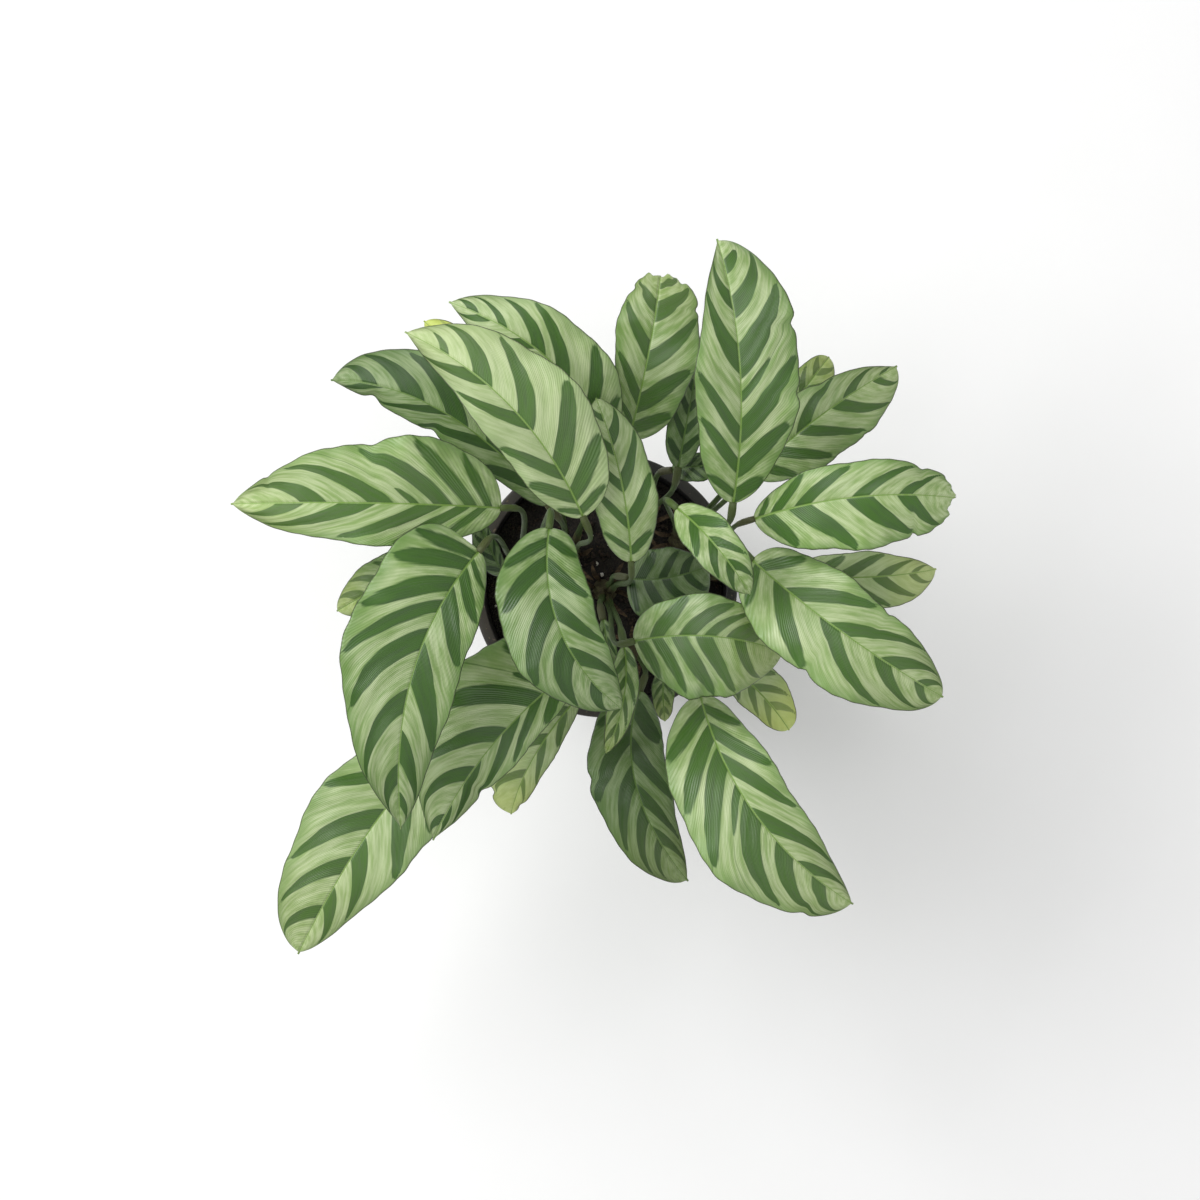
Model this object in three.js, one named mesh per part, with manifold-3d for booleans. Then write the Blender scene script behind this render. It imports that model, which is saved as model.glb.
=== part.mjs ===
// A prayer plant with feather-striped leaves, growing in a round plastic nursery pot.
// Millimetres, +Z up. The origin is the middle of the pot's underside, on the pot's axis.
// Every leaf blade is one thin solid. The leaf stalks of one shoot are one solid with the shoot's crown.
// The crowns stand in plain holes in the soil, and the soil fills the pot.
import * as THREE from "three";
import { mergeVertices } from "three/addons/utils/BufferGeometryUtils.js";
import Module from "manifold-3d";

const wasm = await Module();
wasm.setup();

// Pot: a tapered pot with a stepped collar and a flat rim
const POT_HEIGHT = 118;
const POT_BASE_RADIUS = 50;
const POT_WAIST_RADIUS = 62;
const POT_COLLAR_RADIUS = 65;
const POT_RIM_RADIUS = 70;
const POT_WALL = 2;
const POT_FLOOR = 3;
const COLLAR_HEIGHT = 20;
const COLLAR_FLARE = 1;
const COLLAR_STEP = 2;
const RIM_HEIGHT = 4;
const EDGE_ROUND = 1;
const POT_SIDES = 32;
const DRAIN_HOLES = 8;
const DRAIN_HOLE_RADIUS = 4.5;
const DRAIN_HOLE_SIDES = 8;
const DRAIN_RING_RADIUS = 34;

// Soil: a filling with a flat middle that falls off towards the pot
const SOIL_TOP = 104;
const SOIL_EDGE_DROP = 4;
const SOIL_FLAT_SHARE = 0.7;
const SOIL_CLEARANCE = 0.4;

// Shoots: where each crown stands in the soil, as [x, y]
const CROWN_RADIUS = 7;
const CROWN_DEPTH = 16;
const CROWN_PROUD = 5;
const CROWN_SIDES = 10;
const CROWN_CLEARANCE = 0.3;
const SHOOTS = {
  north_west: [-19, 16],
  north: [20, 34],
  north_east: [40, 24],
  east: [50, 5],
  south_east: [18, -34],
  south_west: [-12, -25],
  west: [-42, 7],
  middle: [0, -3],
};

// Leaf stalks
const STALK_RADIUS = 1.5;
const STALK_STEPS = 7;
const STALK_SIDES = 6;
const STALK_SPREAD = 3.2;
const STALK_ARCH = 0.36;
const SHEATH_RADIUS = 2.5;
const SHEATH_SHARE = 0.34;
const SHEATH_STEPS = 2;
const KNEE_RADIUS = 1.9;
const KNEE_LENGTH = 11;
const KNEE_STEPS = 3;
const KNEE_OVERLAP = 0.02;
const KNEE_GAP = 0.5;

// Leaf blades
const BLADE_THICKNESS = 0.7;
const BLADE_STEPS = 12;
const BLADE_COLUMNS = [-1, -0.5, 0, 0.5, 1];
const BASE_HALF_WIDTH = 1.1;
const TIP_HALF_WIDTH = 0.45;
const OVAL_END = 0.985;
const DRIP_TIP_LENGTH = 0.12;
const MIDRIB_KEEL = 1.1;
const HALF_ARCH = 0.07;
const WAVES = 2.6;
const WAVE_HEIGHT = 0.075;
const WAVE_RIPPLE = 0.035;
const WAVE_SHIFT = 2.1;
const GOLDEN_TURN = Math.PI * (Math.sqrt(5) - 1);

// The view in which the leaves were measured: the eye looks straight down from EYE, and a spot of the view
// is counted in pixels, across and down. A height makes it a place of the plant.
const EYE = new THREE.Vector3(-2.6, -7.9, 2400);
const VIEW_MIDDLE = 600;
const FOCAL_LENGTH = 4320;

// The place of the plant at a spot of the view, given as [column, row, height].
function placeOf([column, row, height]) {
  const scale = (EYE.z - height) / FOCAL_LENGTH;
  const x = EYE.x + (column - VIEW_MIDDLE) * scale;
  const y = EYE.y - (row - VIEW_MIDDLE) * scale;
  return new THREE.Vector3(x, y, height);
}

// One half of a blade, left or right of the midrib as seen from base to tip: its greatest width, how far it
// is lifted in degrees, the share of the length where it is widest, and how it closes towards the base
// (root) and the tip (taper). 0.5 closes it as an oval, less is blunter and more is slenderer.
function half([width, raise, widest, root, taper]) {
  return { width, raise, widest, root, taper };
}

// A leaf: its shoot, the spots of its midrib's base, middle and tip, its two halves and the half width of
// its drip tip.
function leaf(shoot, base, mid, tip, left, right, dripWidth) {
  const halves = [half(left), half(right)];
  return { shoot, base: placeOf(base), mid: placeOf(mid), tip: placeOf(tip), halves, dripWidth };
}

const LEAVES = [
  leaf("north_east", [733, 503, 266], [740, 370, 306], [717, 239, 302],
    [22.5, 14, 0.38, 0.5, 1.0], [30, -4, 0.55, 0.65, 0.55], 2),
  leaf("north", [629, 439, 214], [649, 350, 246], [661, 271, 236],
    [18, 6, 0.6, 0.9, 0.4], [25, -6, 0.5, 0.5, 0.38], 0.8),
  leaf("north_west", [606, 438, 228], [546, 357, 258], [449, 302, 246],
    [18, 4, 0.38, 0.5, 0.8], [23, 2, 0.4, 0.5, 0.8], 3),
  leaf("north_west", [583, 517, 264], [511, 407, 298], [405, 332, 286],
    [19, 8, 0.34, 0.5, 0.9], [31, 0, 0.38, 0.5, 0.82], 3),
  leaf("north_west", [548, 505, 208], [443, 412, 234], [331, 380, 218],
    [13, 2, 0.4, 0.5, 0.8], [27, -4, 0.5, 0.5, 0.75], 2.5),
  leaf("west", [501, 508, 230], [365, 503, 260], [231, 504, 244],
    [21, 8, 0.42, 0.5, 0.75], [33.5, 2, 0.3, 0.45, 0.8], 2.5),
  leaf("west", [479, 551, 258], [412, 676, 288], [401, 829, 262],
    [23, -10, 0.43, 0.5, 0.75], [38, 8, 0.33, 0.2, 1.0], 3),
  leaf("west", [549, 528, 250], [560, 630, 276], [622, 709, 258],
    [20, -8, 0.43, 0.3, 0.6], [28, 8, 0.43, 0.5, 0.8], 2.5),
  leaf("south_west", [575, 668, 212], [490, 748, 236], [433, 840, 212],
    [15, -4, 0.4, 0.5, 1.0], [39, 6, 0.3, 0.3, 0.9], 3),
  leaf("south_west", [452, 742, 176], [375, 823, 202], [298, 954, 178],
    [29, 0, 0.35, 0.5, 0.7], [33, 4, 0.55, 0.5, 0.5], 2),
  leaf("south_west", [578, 697, 158], [534, 757, 182], [511, 814, 172],
    [9, 6, 0.43, 0.5, 0.6], [20, 4, 0.55, 0.5, 0.5], 2),
  leaf("south_east", [640, 690, 172], [636, 785, 197], [688, 881, 176],
    [18, -6, 0.43, 0.5, 0.8], [23, 8, 0.43, 0.5, 0.5], 2),
  leaf("south_east", [700, 695, 204], [756, 815, 234], [853, 904, 208],
    [22, -4, 0.43, 0.5, 0.8], [34.5, 6, 0.5, 0.5, 0.66], 2.5),
  leaf("middle", [634, 641, 230], [710, 636, 250], [784, 652, 232],
    [21, 4, 0.42, 0.5, 0.5], [32, -8, 0.45, 0.5, 0.5], 1.5),
  leaf("south_east", [715, 655, 170], [757, 690, 190], [789, 730, 180],
    [14, 6, 0.43, 0.5, 0.45], [11, 4, 0.43, 0.5, 0.45], 1.5),
  leaf("east", [752, 560, 240], [842, 632, 266], [943, 697, 246],
    [24, 0, 0.4, 0.4, 0.55], [29, 6, 0.45, 0.35, 0.55], 2),
  leaf("east", [790, 575, 198], [868, 577, 220], [936, 569, 208],
    [13, 8, 0.43, 0.5, 0.85], [18, 4, 0.43, 0.5, 0.6], 2),
  leaf("east", [754, 519, 254], [855, 497, 282], [957, 498, 266],
    [18, 6, 0.5, 0.6, 0.35], [26, -4, 0.5, 0.5, 0.42], 0.8),
  leaf("north_east", [752, 475, 226], [820, 416, 248], [897, 366, 238],
    [16, 6, 0.4, 0.5, 0.95], [22, -6, 0.5, 0.5, 0.5], 2.5),
  leaf("north_east", [768, 440, 198], [800, 395, 220], [829, 357, 212],
    [10, 6, 0.43, 0.5, 0.45], [12, 4, 0.43, 0.5, 0.45], 1.5),
  leaf("north_east", [677, 508, 262], [716, 546, 284], [750, 594, 274],
    [12, 25, 0.43, 0.5, 0.6], [12, 20, 0.43, 0.5, 0.6], 2),
  leaf("middle", [631, 562, 236], [621, 480, 262], [596, 398, 250],
    [16, 2, 0.43, 0.5, 0.6], [16.5, -10, 0.43, 0.5, 0.6], 2.5),
  leaf("middle", [628, 578, 190], [666, 578, 206], [708, 566, 198],
    [16, 4, 0.43, 0.5, 0.5], [23, -4, 0.43, 0.5, 0.5], 1.5),
  leaf("middle", [624, 646, 198], [624, 697, 209], [606, 753, 205],
    [7, 30, 0.43, 0.5, 0.6], [8, 30, 0.43, 0.5, 0.6], 1.5),
  leaf("north", [678, 468, 208], [688, 415, 222], [697, 366, 218],
    [10, 20, 0.43, 0.5, 0.6], [10, 10, 0.43, 0.5, 0.6], 2),
  leaf("north", [672, 470, 194], [698, 466, 206], [725, 465, 202],
    [7, 15, 0.43, 0.5, 0.5], [8, 10, 0.43, 0.5, 0.5], 1.5),
  leaf("west", [450, 560, 214], [395, 580, 232], [337, 611, 214],
    [15, 0, 0.43, 0.5, 0.6], [15, 4, 0.43, 0.5, 0.6], 2),
  leaf("west", [505, 575, 196], [490, 548, 208], [478, 515, 202],
    [8, 20, 0.43, 0.5, 0.6], [4.5, 15, 0.43, 0.5, 0.6], 1.5),
  leaf("north_west", [545, 450, 184], [490, 385, 208], [424, 321, 200],
    [13, 6, 0.43, 0.5, 0.6], [15, 4, 0.5, 0.5, 0.55], 2),
  leaf("south_east", [665, 668, 150], [663, 693, 162], [665, 721, 156],
    [6, 10, 0.43, 0.5, 0.5], [6, 10, 0.43, 0.5, 0.5], 1.5),
  leaf("middle", [603, 619, 170], [608, 652, 180], [611, 691, 174],
    [5, 12, 0.43, 0.5, 0.6], [4, 8, 0.43, 0.5, 0.6], 1.5),
];

const leafMaterial = new THREE.MeshStandardMaterial({ color: 0x7fa05c, roughness: 0.5, metalness: 0 });
const stalkMaterial = new THREE.MeshStandardMaterial({ color: 0x66743a, roughness: 0.55, metalness: 0 });
const soilMaterial = new THREE.MeshStandardMaterial({ color: 0x231a14, roughness: 0.95, metalness: 0 });
const potMaterial = new THREE.MeshStandardMaterial({ color: 0x1b1b1c, roughness: 0.45, metalness: 0 });

const MERGE_DISTANCE = 1e-4;
const CUT_MARGIN = 5;

// A closed geometry, its shared vertices merged, as a solid that can be joined and cut.
function solidOf(geometry) {
  const bare = geometry.index ? geometry.toNonIndexed() : geometry.clone();
  bare.deleteAttribute("normal");
  bare.deleteAttribute("uv");
  const merged = mergeVertices(bare, MERGE_DISTANCE);
  return new wasm.Manifold(
    new wasm.Mesh({
      numProp: 3,
      vertProperties: merged.attributes.position.array,
      triVerts: new Uint32Array(merged.index.array),
    }),
  );
}

// A joined or cut solid as a geometry again.
function geometryOf(solid) {
  const { vertProperties, triVerts } = solid.getMesh();
  const geometry = new THREE.BufferGeometry();
  geometry.setAttribute("position", new THREE.BufferAttribute(vertProperties, 3));
  geometry.setIndex(new THREE.BufferAttribute(triVerts, 1));
  geometry.computeVertexNormals();
  return geometry;
}

// A solid turned about Z from a profile of [radius, height] pairs.
function turned(profile) {
  const points = profile.map(([radius, height]) => new THREE.Vector2(radius, height));
  return solidOf(new THREE.LatheGeometry(points, POT_SIDES).rotateX(Math.PI / 2));
}

// A round upright post.
function post(x, y, bottom, top, radius, sides) {
  const geometry = new THREE.CylinderGeometry(radius, radius, top - bottom, sides);
  geometry.rotateX(Math.PI / 2);
  geometry.translate(x, y, (bottom + top) / 2);
  return solidOf(geometry);
}

// A round tube along a curve.
function tube(path, radius, steps) {
  const section = new THREE.Shape().absarc(0, 0, radius, 0, 2 * Math.PI);
  const options = { curveSegments: STALK_SIDES / 2, steps, bevelEnabled: false, extrudePath: path };
  return solidOf(new THREE.ExtrudeGeometry(section, options));
}

// The stretch of a curve between two shares of its length.
class Stretch extends THREE.Curve {
  constructor(whole, from, to) {
    super();
    this.whole = whole;
    this.from = from;
    this.to = to;
  }

  getPoint(share, target = new THREE.Vector3()) {
    return target.copy(this.whole.getPointAt(THREE.MathUtils.lerp(this.from, this.to, share)));
  }
}

// The midrib: a parabola through its base, middle and tip.
function midribOf(leaf) {
  const { base, mid, tip } = leaf;
  const control = mid.clone().multiplyScalar(2).addScaledVector(base, -0.5).addScaledVector(tip, -0.5);
  return new THREE.QuadraticBezierCurve3(base, control, tip);
}

// Width of one half at a share of the length: two quarters of an oval that meet at the widest place, and a
// drip tip.
function halfWidth(share, side, dripWidth) {
  const body = Math.min(share / OVAL_END, 1);
  const nearBase = body < side.widest;
  const off = nearBase ? 1 - body / side.widest : (body - side.widest) / (1 - side.widest);
  const oval = side.width * (1 - off ** 2) ** (nearBase ? side.root : side.taper);
  const drip = nearBase ? 0 : dripWidth * Math.min(1, (1 - share) / DRIP_TIP_LENGTH);
  return Math.max(Math.hypot(oval, drip), THREE.MathUtils.lerp(BASE_HALF_WIDTH, TIP_HALF_WIDTH, share));
}

// A point of a blade's middle surface. share runs from base to tip, and across from -1 on the left margin
// to 1 on the right one. Each half is raised by its own angle, arches a little and ends in a waved margin.
function bladePoint(leaf, order, midrib, share, across) {
  const centre = midrib.getPoint(share);
  const ahead = midrib.getTangent(share).setZ(0).normalize();
  const right = across < 0 ? 0 : 1;
  const side = leaf.halves[right];
  const reach = Math.abs(across);
  const wave = Math.sin(2 * Math.PI * WAVES * share + order * GOLDEN_TURN + right * WAVE_SHIFT);
  const width = halfWidth(share, side, leaf.dripWidth) * (1 + WAVE_RIPPLE * wave);
  const slope = reach * Math.tan(THREE.MathUtils.degToRad(side.raise));
  const arch = HALF_ARCH * 4 * reach * (1 - reach);
  const lift = width * (slope + arch + WAVE_HEIGHT * wave * reach ** 2);
  return centre.add(new THREE.Vector3(ahead.y * width * across, -ahead.x * width * across, lift));
}

// One leaf blade: the two faces of one grid, a blade's thickness apart, with a keel under the midrib.
function bladeGeometry(leaf, order) {
  const midrib = midribOf(leaf);
  const columns = BLADE_COLUMNS.length;
  const top = [];
  const bottom = [];
  for (let row = 0; row <= BLADE_STEPS; row += 1) {
    const share = (1 - Math.cos((Math.PI * row) / BLADE_STEPS)) / 2;
    const along = midrib.getTangent(share);
    const points = BLADE_COLUMNS.map((across) => bladePoint(leaf, order, midrib, share, across));
    points.forEach((point, column) => {
      const left = points[Math.max(0, column - 1)];
      const right = points[Math.min(columns - 1, column + 1)];
      const up = right.clone().sub(left).cross(along).normalize();
      const keel = column === (columns - 1) / 2 ? MIDRIB_KEEL * (1 - share) : 0;
      top.push(point.clone().addScaledVector(up, BLADE_THICKNESS / 2));
      bottom.push(point.clone().addScaledVector(up, -BLADE_THICKNESS / 2 - keel));
    });
  }
  const under = top.length;
  const index = [];
  const quad = (a, b, c, d) => index.push(a, b, c, a, c, d);
  for (let row = 0; row < BLADE_STEPS; row += 1) {
    for (let column = 0; column + 1 < columns; column += 1) {
      const a = row * columns + column;
      const b = a + 1;
      const c = b + columns;
      const d = a + columns;
      quad(a, b, c, d);
      index.push(under + a, under + c, under + b, under + a, under + d, under + c);
    }
    const left = row * columns;
    const right = left + columns - 1;
    quad(left, left + columns, under + left + columns, under + left);
    quad(right + columns, right, under + right, under + right + columns);
  }
  const end = BLADE_STEPS * columns;
  for (let column = 0; column + 1 < columns; column += 1) {
    quad(column + 1, column, under + column, under + column + 1);
    quad(end + column, end + column + 1, under + end + column + 1, under + end + column);
  }
  const positions = [...top, ...bottom].flatMap((point) => point.toArray());
  const geometry = new THREE.BufferGeometry();
  geometry.setAttribute("position", new THREE.Float32BufferAttribute(positions, 3));
  geometry.setIndex(index);
  geometry.computeVertexNormals();
  return geometry;
}

// One leaf stalk: up from the crown and over to the blade, in a sheath below, ending in a thicker knee.
function stalkSolid(leaf) {
  const [crownX, crownY] = SHOOTS[leaf.shoot];
  const midrib = midribOf(leaf);
  const ahead = midrib.getTangent(0);
  const end = midrib.getPoint(0).addScaledVector(ahead, -KNEE_GAP);
  const kneeStart = end.clone().addScaledVector(ahead, -KNEE_LENGTH);
  const outward = Math.atan2(kneeStart.y - crownY, kneeStart.x - crownX);
  const foot = new THREE.Vector3(
    crownX + STALK_SPREAD * Math.cos(outward),
    crownY + STALK_SPREAD * Math.sin(outward),
    SOIL_TOP,
  );
  const middle = foot.clone().lerp(kneeStart, STALK_ARCH).setZ((foot.z + kneeStart.z) / 2);
  const path = new THREE.CatmullRomCurve3([foot, middle, kneeStart, end]);
  const kneeShare = 1 - KNEE_LENGTH / path.getLength();
  return tube(new Stretch(path, 0, kneeShare + KNEE_OVERLAP), STALK_RADIUS, STALK_STEPS)
    .add(tube(new Stretch(path, 0, SHEATH_SHARE), SHEATH_RADIUS, SHEATH_STEPS))
    .add(tube(new Stretch(path, kneeShare, 1), KNEE_RADIUS, KNEE_STEPS));
}

// A shoot: its crown and the stalks of its leaves, joined.
function shootSolid(shoot) {
  const [x, y] = SHOOTS[shoot];
  const crownBottom = SOIL_TOP - CROWN_DEPTH;
  const crown = post(x, y, crownBottom, SOIL_TOP + CROWN_PROUD, CROWN_RADIUS, CROWN_SIDES);
  return LEAVES.filter((leaf) => leaf.shoot === shoot)
    .map(stalkSolid)
    .reduce((joined, stalk) => joined.add(stalk), crown);
}

// The pot: a turned wall with a stepped collar and a rim, and a ring of drain holes in its floor.
function potSolid() {
  const collarBottom = POT_HEIGHT - COLLAR_HEIGHT;
  const rimBottom = POT_HEIGHT - RIM_HEIGHT;
  const pot = turned([
    [0, POT_FLOOR],
    [0, 0],
    [POT_BASE_RADIUS - EDGE_ROUND, 0],
    [POT_BASE_RADIUS, EDGE_ROUND],
    [POT_WAIST_RADIUS, collarBottom - COLLAR_STEP],
    [POT_COLLAR_RADIUS, collarBottom],
    [POT_COLLAR_RADIUS + COLLAR_FLARE, rimBottom],
    [POT_RIM_RADIUS, rimBottom],
    [POT_RIM_RADIUS, POT_HEIGHT - EDGE_ROUND],
    [POT_RIM_RADIUS - EDGE_ROUND, POT_HEIGHT],
    [POT_COLLAR_RADIUS + COLLAR_FLARE - POT_WALL, POT_HEIGHT],
    [POT_COLLAR_RADIUS - POT_WALL, collarBottom],
    [POT_WAIST_RADIUS - POT_WALL, collarBottom - 2 * COLLAR_STEP],
    [POT_BASE_RADIUS - POT_WALL, POT_FLOOR],
    [0, POT_FLOOR],
  ]);
  const turns = Array.from({ length: DRAIN_HOLES }, (_, k) => (2 * Math.PI * (k + 0.5)) / DRAIN_HOLES);
  return turns.reduce((left, turn) => {
    const x = DRAIN_RING_RADIUS * Math.cos(turn);
    const y = DRAIN_RING_RADIUS * Math.sin(turn);
    const hole = post(x, y, -CUT_MARGIN, POT_FLOOR + CUT_MARGIN, DRAIN_HOLE_RADIUS, DRAIN_HOLE_SIDES);
    return left.subtract(hole);
  }, pot);
}

// The soil: a filling just clear of the pot, with a plain hole round each crown.
function soilSolid() {
  const collarBottom = POT_HEIGHT - COLLAR_HEIGHT;
  const inset = POT_WALL + SOIL_CLEARANCE;
  const collarRadius = POT_COLLAR_RADIUS - inset;
  const soil = turned([
    [0, POT_FLOOR + SOIL_CLEARANCE],
    [POT_BASE_RADIUS - inset, POT_FLOOR + SOIL_CLEARANCE],
    [POT_WAIST_RADIUS - inset, collarBottom - 2 * COLLAR_STEP],
    [collarRadius, collarBottom],
    [collarRadius, SOIL_TOP - SOIL_EDGE_DROP],
    [collarRadius * SOIL_FLAT_SHARE, SOIL_TOP],
    [0, SOIL_TOP],
  ]);
  const holeBottom = SOIL_TOP - CROWN_DEPTH - CROWN_CLEARANCE;
  const holeRadius = CROWN_RADIUS + CROWN_CLEARANCE;
  return Object.values(SHOOTS).reduce(
    (left, [x, y]) => left.subtract(post(x, y, holeBottom, SOIL_TOP + CUT_MARGIN, holeRadius, CROWN_SIDES)),
    soil,
  );
}

const plant = new THREE.Group();
function place(name, geometry, material) {
  const mesh = new THREE.Mesh(geometry, material);
  mesh.name = name;
  plant.add(mesh);
}

place("pot", geometryOf(potSolid()), potMaterial);
place("soil", geometryOf(soilSolid()), soilMaterial);
for (const shoot of Object.keys(SHOOTS)) {
  place(`stalks_${shoot}`, geometryOf(shootSolid(shoot)), stalkMaterial);
}
LEAVES.forEach((leaf, order) => {
  place(`leaf_${String(order + 1).padStart(2, "0")}`, bladeGeometry(leaf, order), leafMaterial);
});

export default plant;
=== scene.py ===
# %% [markdown]
# # A potted prayer plant with feather-striped leaves
# The plant was built first as plain closed solids, one for each leaf blade, one for each shoot's stalks,
# one for the soil and one for the pot. This lesson dresses those solids: every piece is made again in the
# same place with a finer mesh, and gets a material built from nodes.

# %% Load the frame
import math
from collections import namedtuple

import bmesh
import bpy
import numpy as np
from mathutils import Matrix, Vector, noise


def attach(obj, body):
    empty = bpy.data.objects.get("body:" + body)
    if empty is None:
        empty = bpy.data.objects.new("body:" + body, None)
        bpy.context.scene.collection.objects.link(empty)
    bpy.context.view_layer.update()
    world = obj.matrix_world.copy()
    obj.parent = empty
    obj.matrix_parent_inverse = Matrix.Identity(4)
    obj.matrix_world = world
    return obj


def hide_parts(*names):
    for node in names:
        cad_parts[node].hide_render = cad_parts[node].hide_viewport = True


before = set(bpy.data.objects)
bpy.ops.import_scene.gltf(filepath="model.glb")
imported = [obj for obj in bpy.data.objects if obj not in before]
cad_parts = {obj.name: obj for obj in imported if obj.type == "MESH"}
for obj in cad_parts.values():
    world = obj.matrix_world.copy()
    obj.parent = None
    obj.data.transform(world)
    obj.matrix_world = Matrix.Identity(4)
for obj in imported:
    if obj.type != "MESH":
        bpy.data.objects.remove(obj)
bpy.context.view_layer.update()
scene = bpy.context.scene
MM = 0.001
print("solids in the frame:", len(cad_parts))

# %% [markdown]
# ## The camera
# The plant was photographed from straight above. A camera that looks down needs no turning in Blender:
# its own rest position looks along -Z with +Y at the top of the picture. The lens is worked out from the
# width of the view in pixels and the focal length in the same pixels, so the frame matches the picture.

# %% Camera straight above the plant
SENSOR_WIDTH = 36.0
PICTURE_WIDTH = 1200
FOCAL_LENGTH_IN_PIXELS = 4320
EYE = np.array((-2.6, -7.9, 2400.0))

camera_data = bpy.data.cameras.new("camera")
camera_data.sensor_width = SENSOR_WIDTH
camera_data.lens = SENSOR_WIDTH * FOCAL_LENGTH_IN_PIXELS / PICTURE_WIDTH
camera = bpy.data.objects.new("camera", camera_data)
camera.location = EYE * MM
scene.collection.objects.link(camera)
scene.camera = camera
print("lens in mm:", round(camera_data.lens, 1))

# %% [markdown]
# ## Helpers for materials
# A node tree written by hand is long, because each node and each link takes a line. These few helpers
# shorten it: one adds a node and fills its inputs, either with a plain value or with a link, and the
# others name the small steps that every finish below uses.

# %% Small helpers that add nodes


def fill(tree, socket, value):
    """Links an output to the socket, or sets the socket to a plain value."""
    if isinstance(value, bpy.types.NodeSocket):
        tree.links.new(value, socket)
    else:
        socket.default_value = value


def add(tree, kind, inputs=None, **settings):
    """Adds a node, sets its options first and its inputs after them."""
    node = tree.nodes.new(kind)
    for name, value in settings.items():
        setattr(node, name, value)
    for name, value in (inputs or {}).items():
        fill(tree, node.inputs[name], value)
    return node


def maths(tree, operation, *values):
    node = add(tree, "ShaderNodeMath", operation=operation)
    for socket, value in zip(node.inputs, values):
        fill(tree, socket, value)
    return node.outputs[0]


def times(tree, first, second):
    return maths(tree, "MULTIPLY", first, second)


def rise(tree, value, low, high):
    """0 below low, 1 above high, and a smooth step between them."""
    limits = {"Value": value, "From Min": low, "From Max": high}
    return add(tree, "ShaderNodeMapRange", limits, interpolation_type="SMOOTHSTEP").outputs[0]


def fall(tree, value, low, high):
    """1 below low, 0 above high, and a smooth step between them."""
    return maths(tree, "SUBTRACT", 1.0, rise(tree, value, low, high))


def spread(tree, value, low, high):
    """Takes a value from the range 0 to 1 to the range low to high."""
    limits = {"Value": value, "To Min": low, "To Max": high}
    return add(tree, "ShaderNodeMapRange", limits).outputs[0]


def paint(tree, share, first, second, how="MIX"):
    """Mixes two colours. share is how much of the second one shows."""
    node = add(tree, "ShaderNodeMix", data_type="RGBA", blend_type=how)
    colour_sockets = [socket for socket in node.inputs if socket.type == "RGBA"]
    fill(tree, node.inputs[0], share)
    fill(tree, colour_sockets[0], first)
    fill(tree, colour_sockets[1], second)
    return [socket for socket in node.outputs if socket.type == "RGBA"][0]


def mottle(tree, place, scale, detail=3.0):
    """Soft noise between 0 and 1."""
    inputs = {"Vector": place, "Scale": scale, "Detail": detail}
    return add(tree, "ShaderNodeTexNoise", inputs).outputs["Fac"]


def object_place(tree):
    return add(tree, "ShaderNodeTexCoord").outputs["Object"]


def join(tree, x, y, z=0.0):
    return add(tree, "ShaderNodeCombineXYZ", {"X": x, "Y": y, "Z": z}).outputs[0]


def split(tree, vector):
    return add(tree, "ShaderNodeSeparateXYZ", {"Vector": vector}).outputs


def field(tree, name):
    """A value that the mesh carries at each of its points."""
    return add(tree, "ShaderNodeAttribute", attribute_name=name).outputs["Vector"]


def new_group(name, inputs, outputs):
    """A node group with named sockets. inputs and outputs are pairs of name and kind."""
    tree = bpy.data.node_groups.new(name, "ShaderNodeTree")
    for label, kind in inputs:
        tree.interface.new_socket(name=label, in_out="INPUT", socket_type="NodeSocket" + kind)
    for label, kind in outputs:
        tree.interface.new_socket(name=label, in_out="OUTPUT", socket_type="NodeSocket" + kind)
    entry = tree.nodes.new("NodeGroupInput").outputs
    end = tree.nodes.new("NodeGroupOutput").inputs
    return tree, entry, end


def use(tree, group, inputs):
    return add(tree, "ShaderNodeGroup", inputs, node_tree=group).outputs


def linear(tone):
    """One tone from 0 to 255, as a screen shows it, as the linear value that Blender mixes."""
    return ((tone / 255 + 0.055) / 1.055) ** 2.4 if tone > 10 else tone / 255 / 12.92


def shade(red, green, blue):
    return (linear(red), linear(green), linear(blue), 1.0)


def finish(name, colour, roughness, height=None, relief=0.0):
    """A material with the Principled shader. The callables get the tree and give a socket or a value."""
    material = bpy.data.materials.new(name)
    material.use_nodes = True
    tree = material.node_tree
    shader = tree.nodes["Principled BSDF"]
    fill(tree, shader.inputs["Base Color"], colour(tree))
    fill(tree, shader.inputs["Roughness"], roughness(tree))
    if height:
        bump = add(tree, "ShaderNodeBump", {"Height": height(tree), "Distance": relief})
        tree.links.new(bump.outputs["Normal"], shader.inputs["Normal"])
    return material


print("helpers ready")

# %% [markdown]
# ## The leaves: where each one lies
# A leaf here is described as it was measured in the view from above: the spots where its midrib begins,
# is half way and ends, in pixels across and down, each with a height in millimetres. The camera's own
# numbers then turn a spot into a place. After the spots come the two halves, left and right as seen from
# base to tip: greatest width, lift in degrees, the share of the length where the half is widest, and how
# it closes towards the base and towards the tip (0.5 is an oval, less is blunter, more is slenderer).
# The last number is half the width of the drip tip. Listed rows suit a plant better than a random
# spread, because each leaf was matched to one in the picture.

# %% The leaves, as measured
Leaf = namedtuple("Leaf", "shoot base mid tip half lift widest root taper drip")


def place_of(spot):
    """The place in millimetres at a spot of the view, given as column, row and height."""
    column, row, height = spot
    scale = (EYE[2] - height) / FOCAL_LENGTH_IN_PIXELS
    across = column - PICTURE_WIDTH / 2
    down = row - PICTURE_WIDTH / 2
    return np.array((EYE[0] + across * scale, EYE[1] - down * scale, height))


def plan(shoot, base, mid, tip, left, right, drip):
    return Leaf(shoot, place_of(base), place_of(mid), place_of(tip), *zip(left, right), drip)


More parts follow.
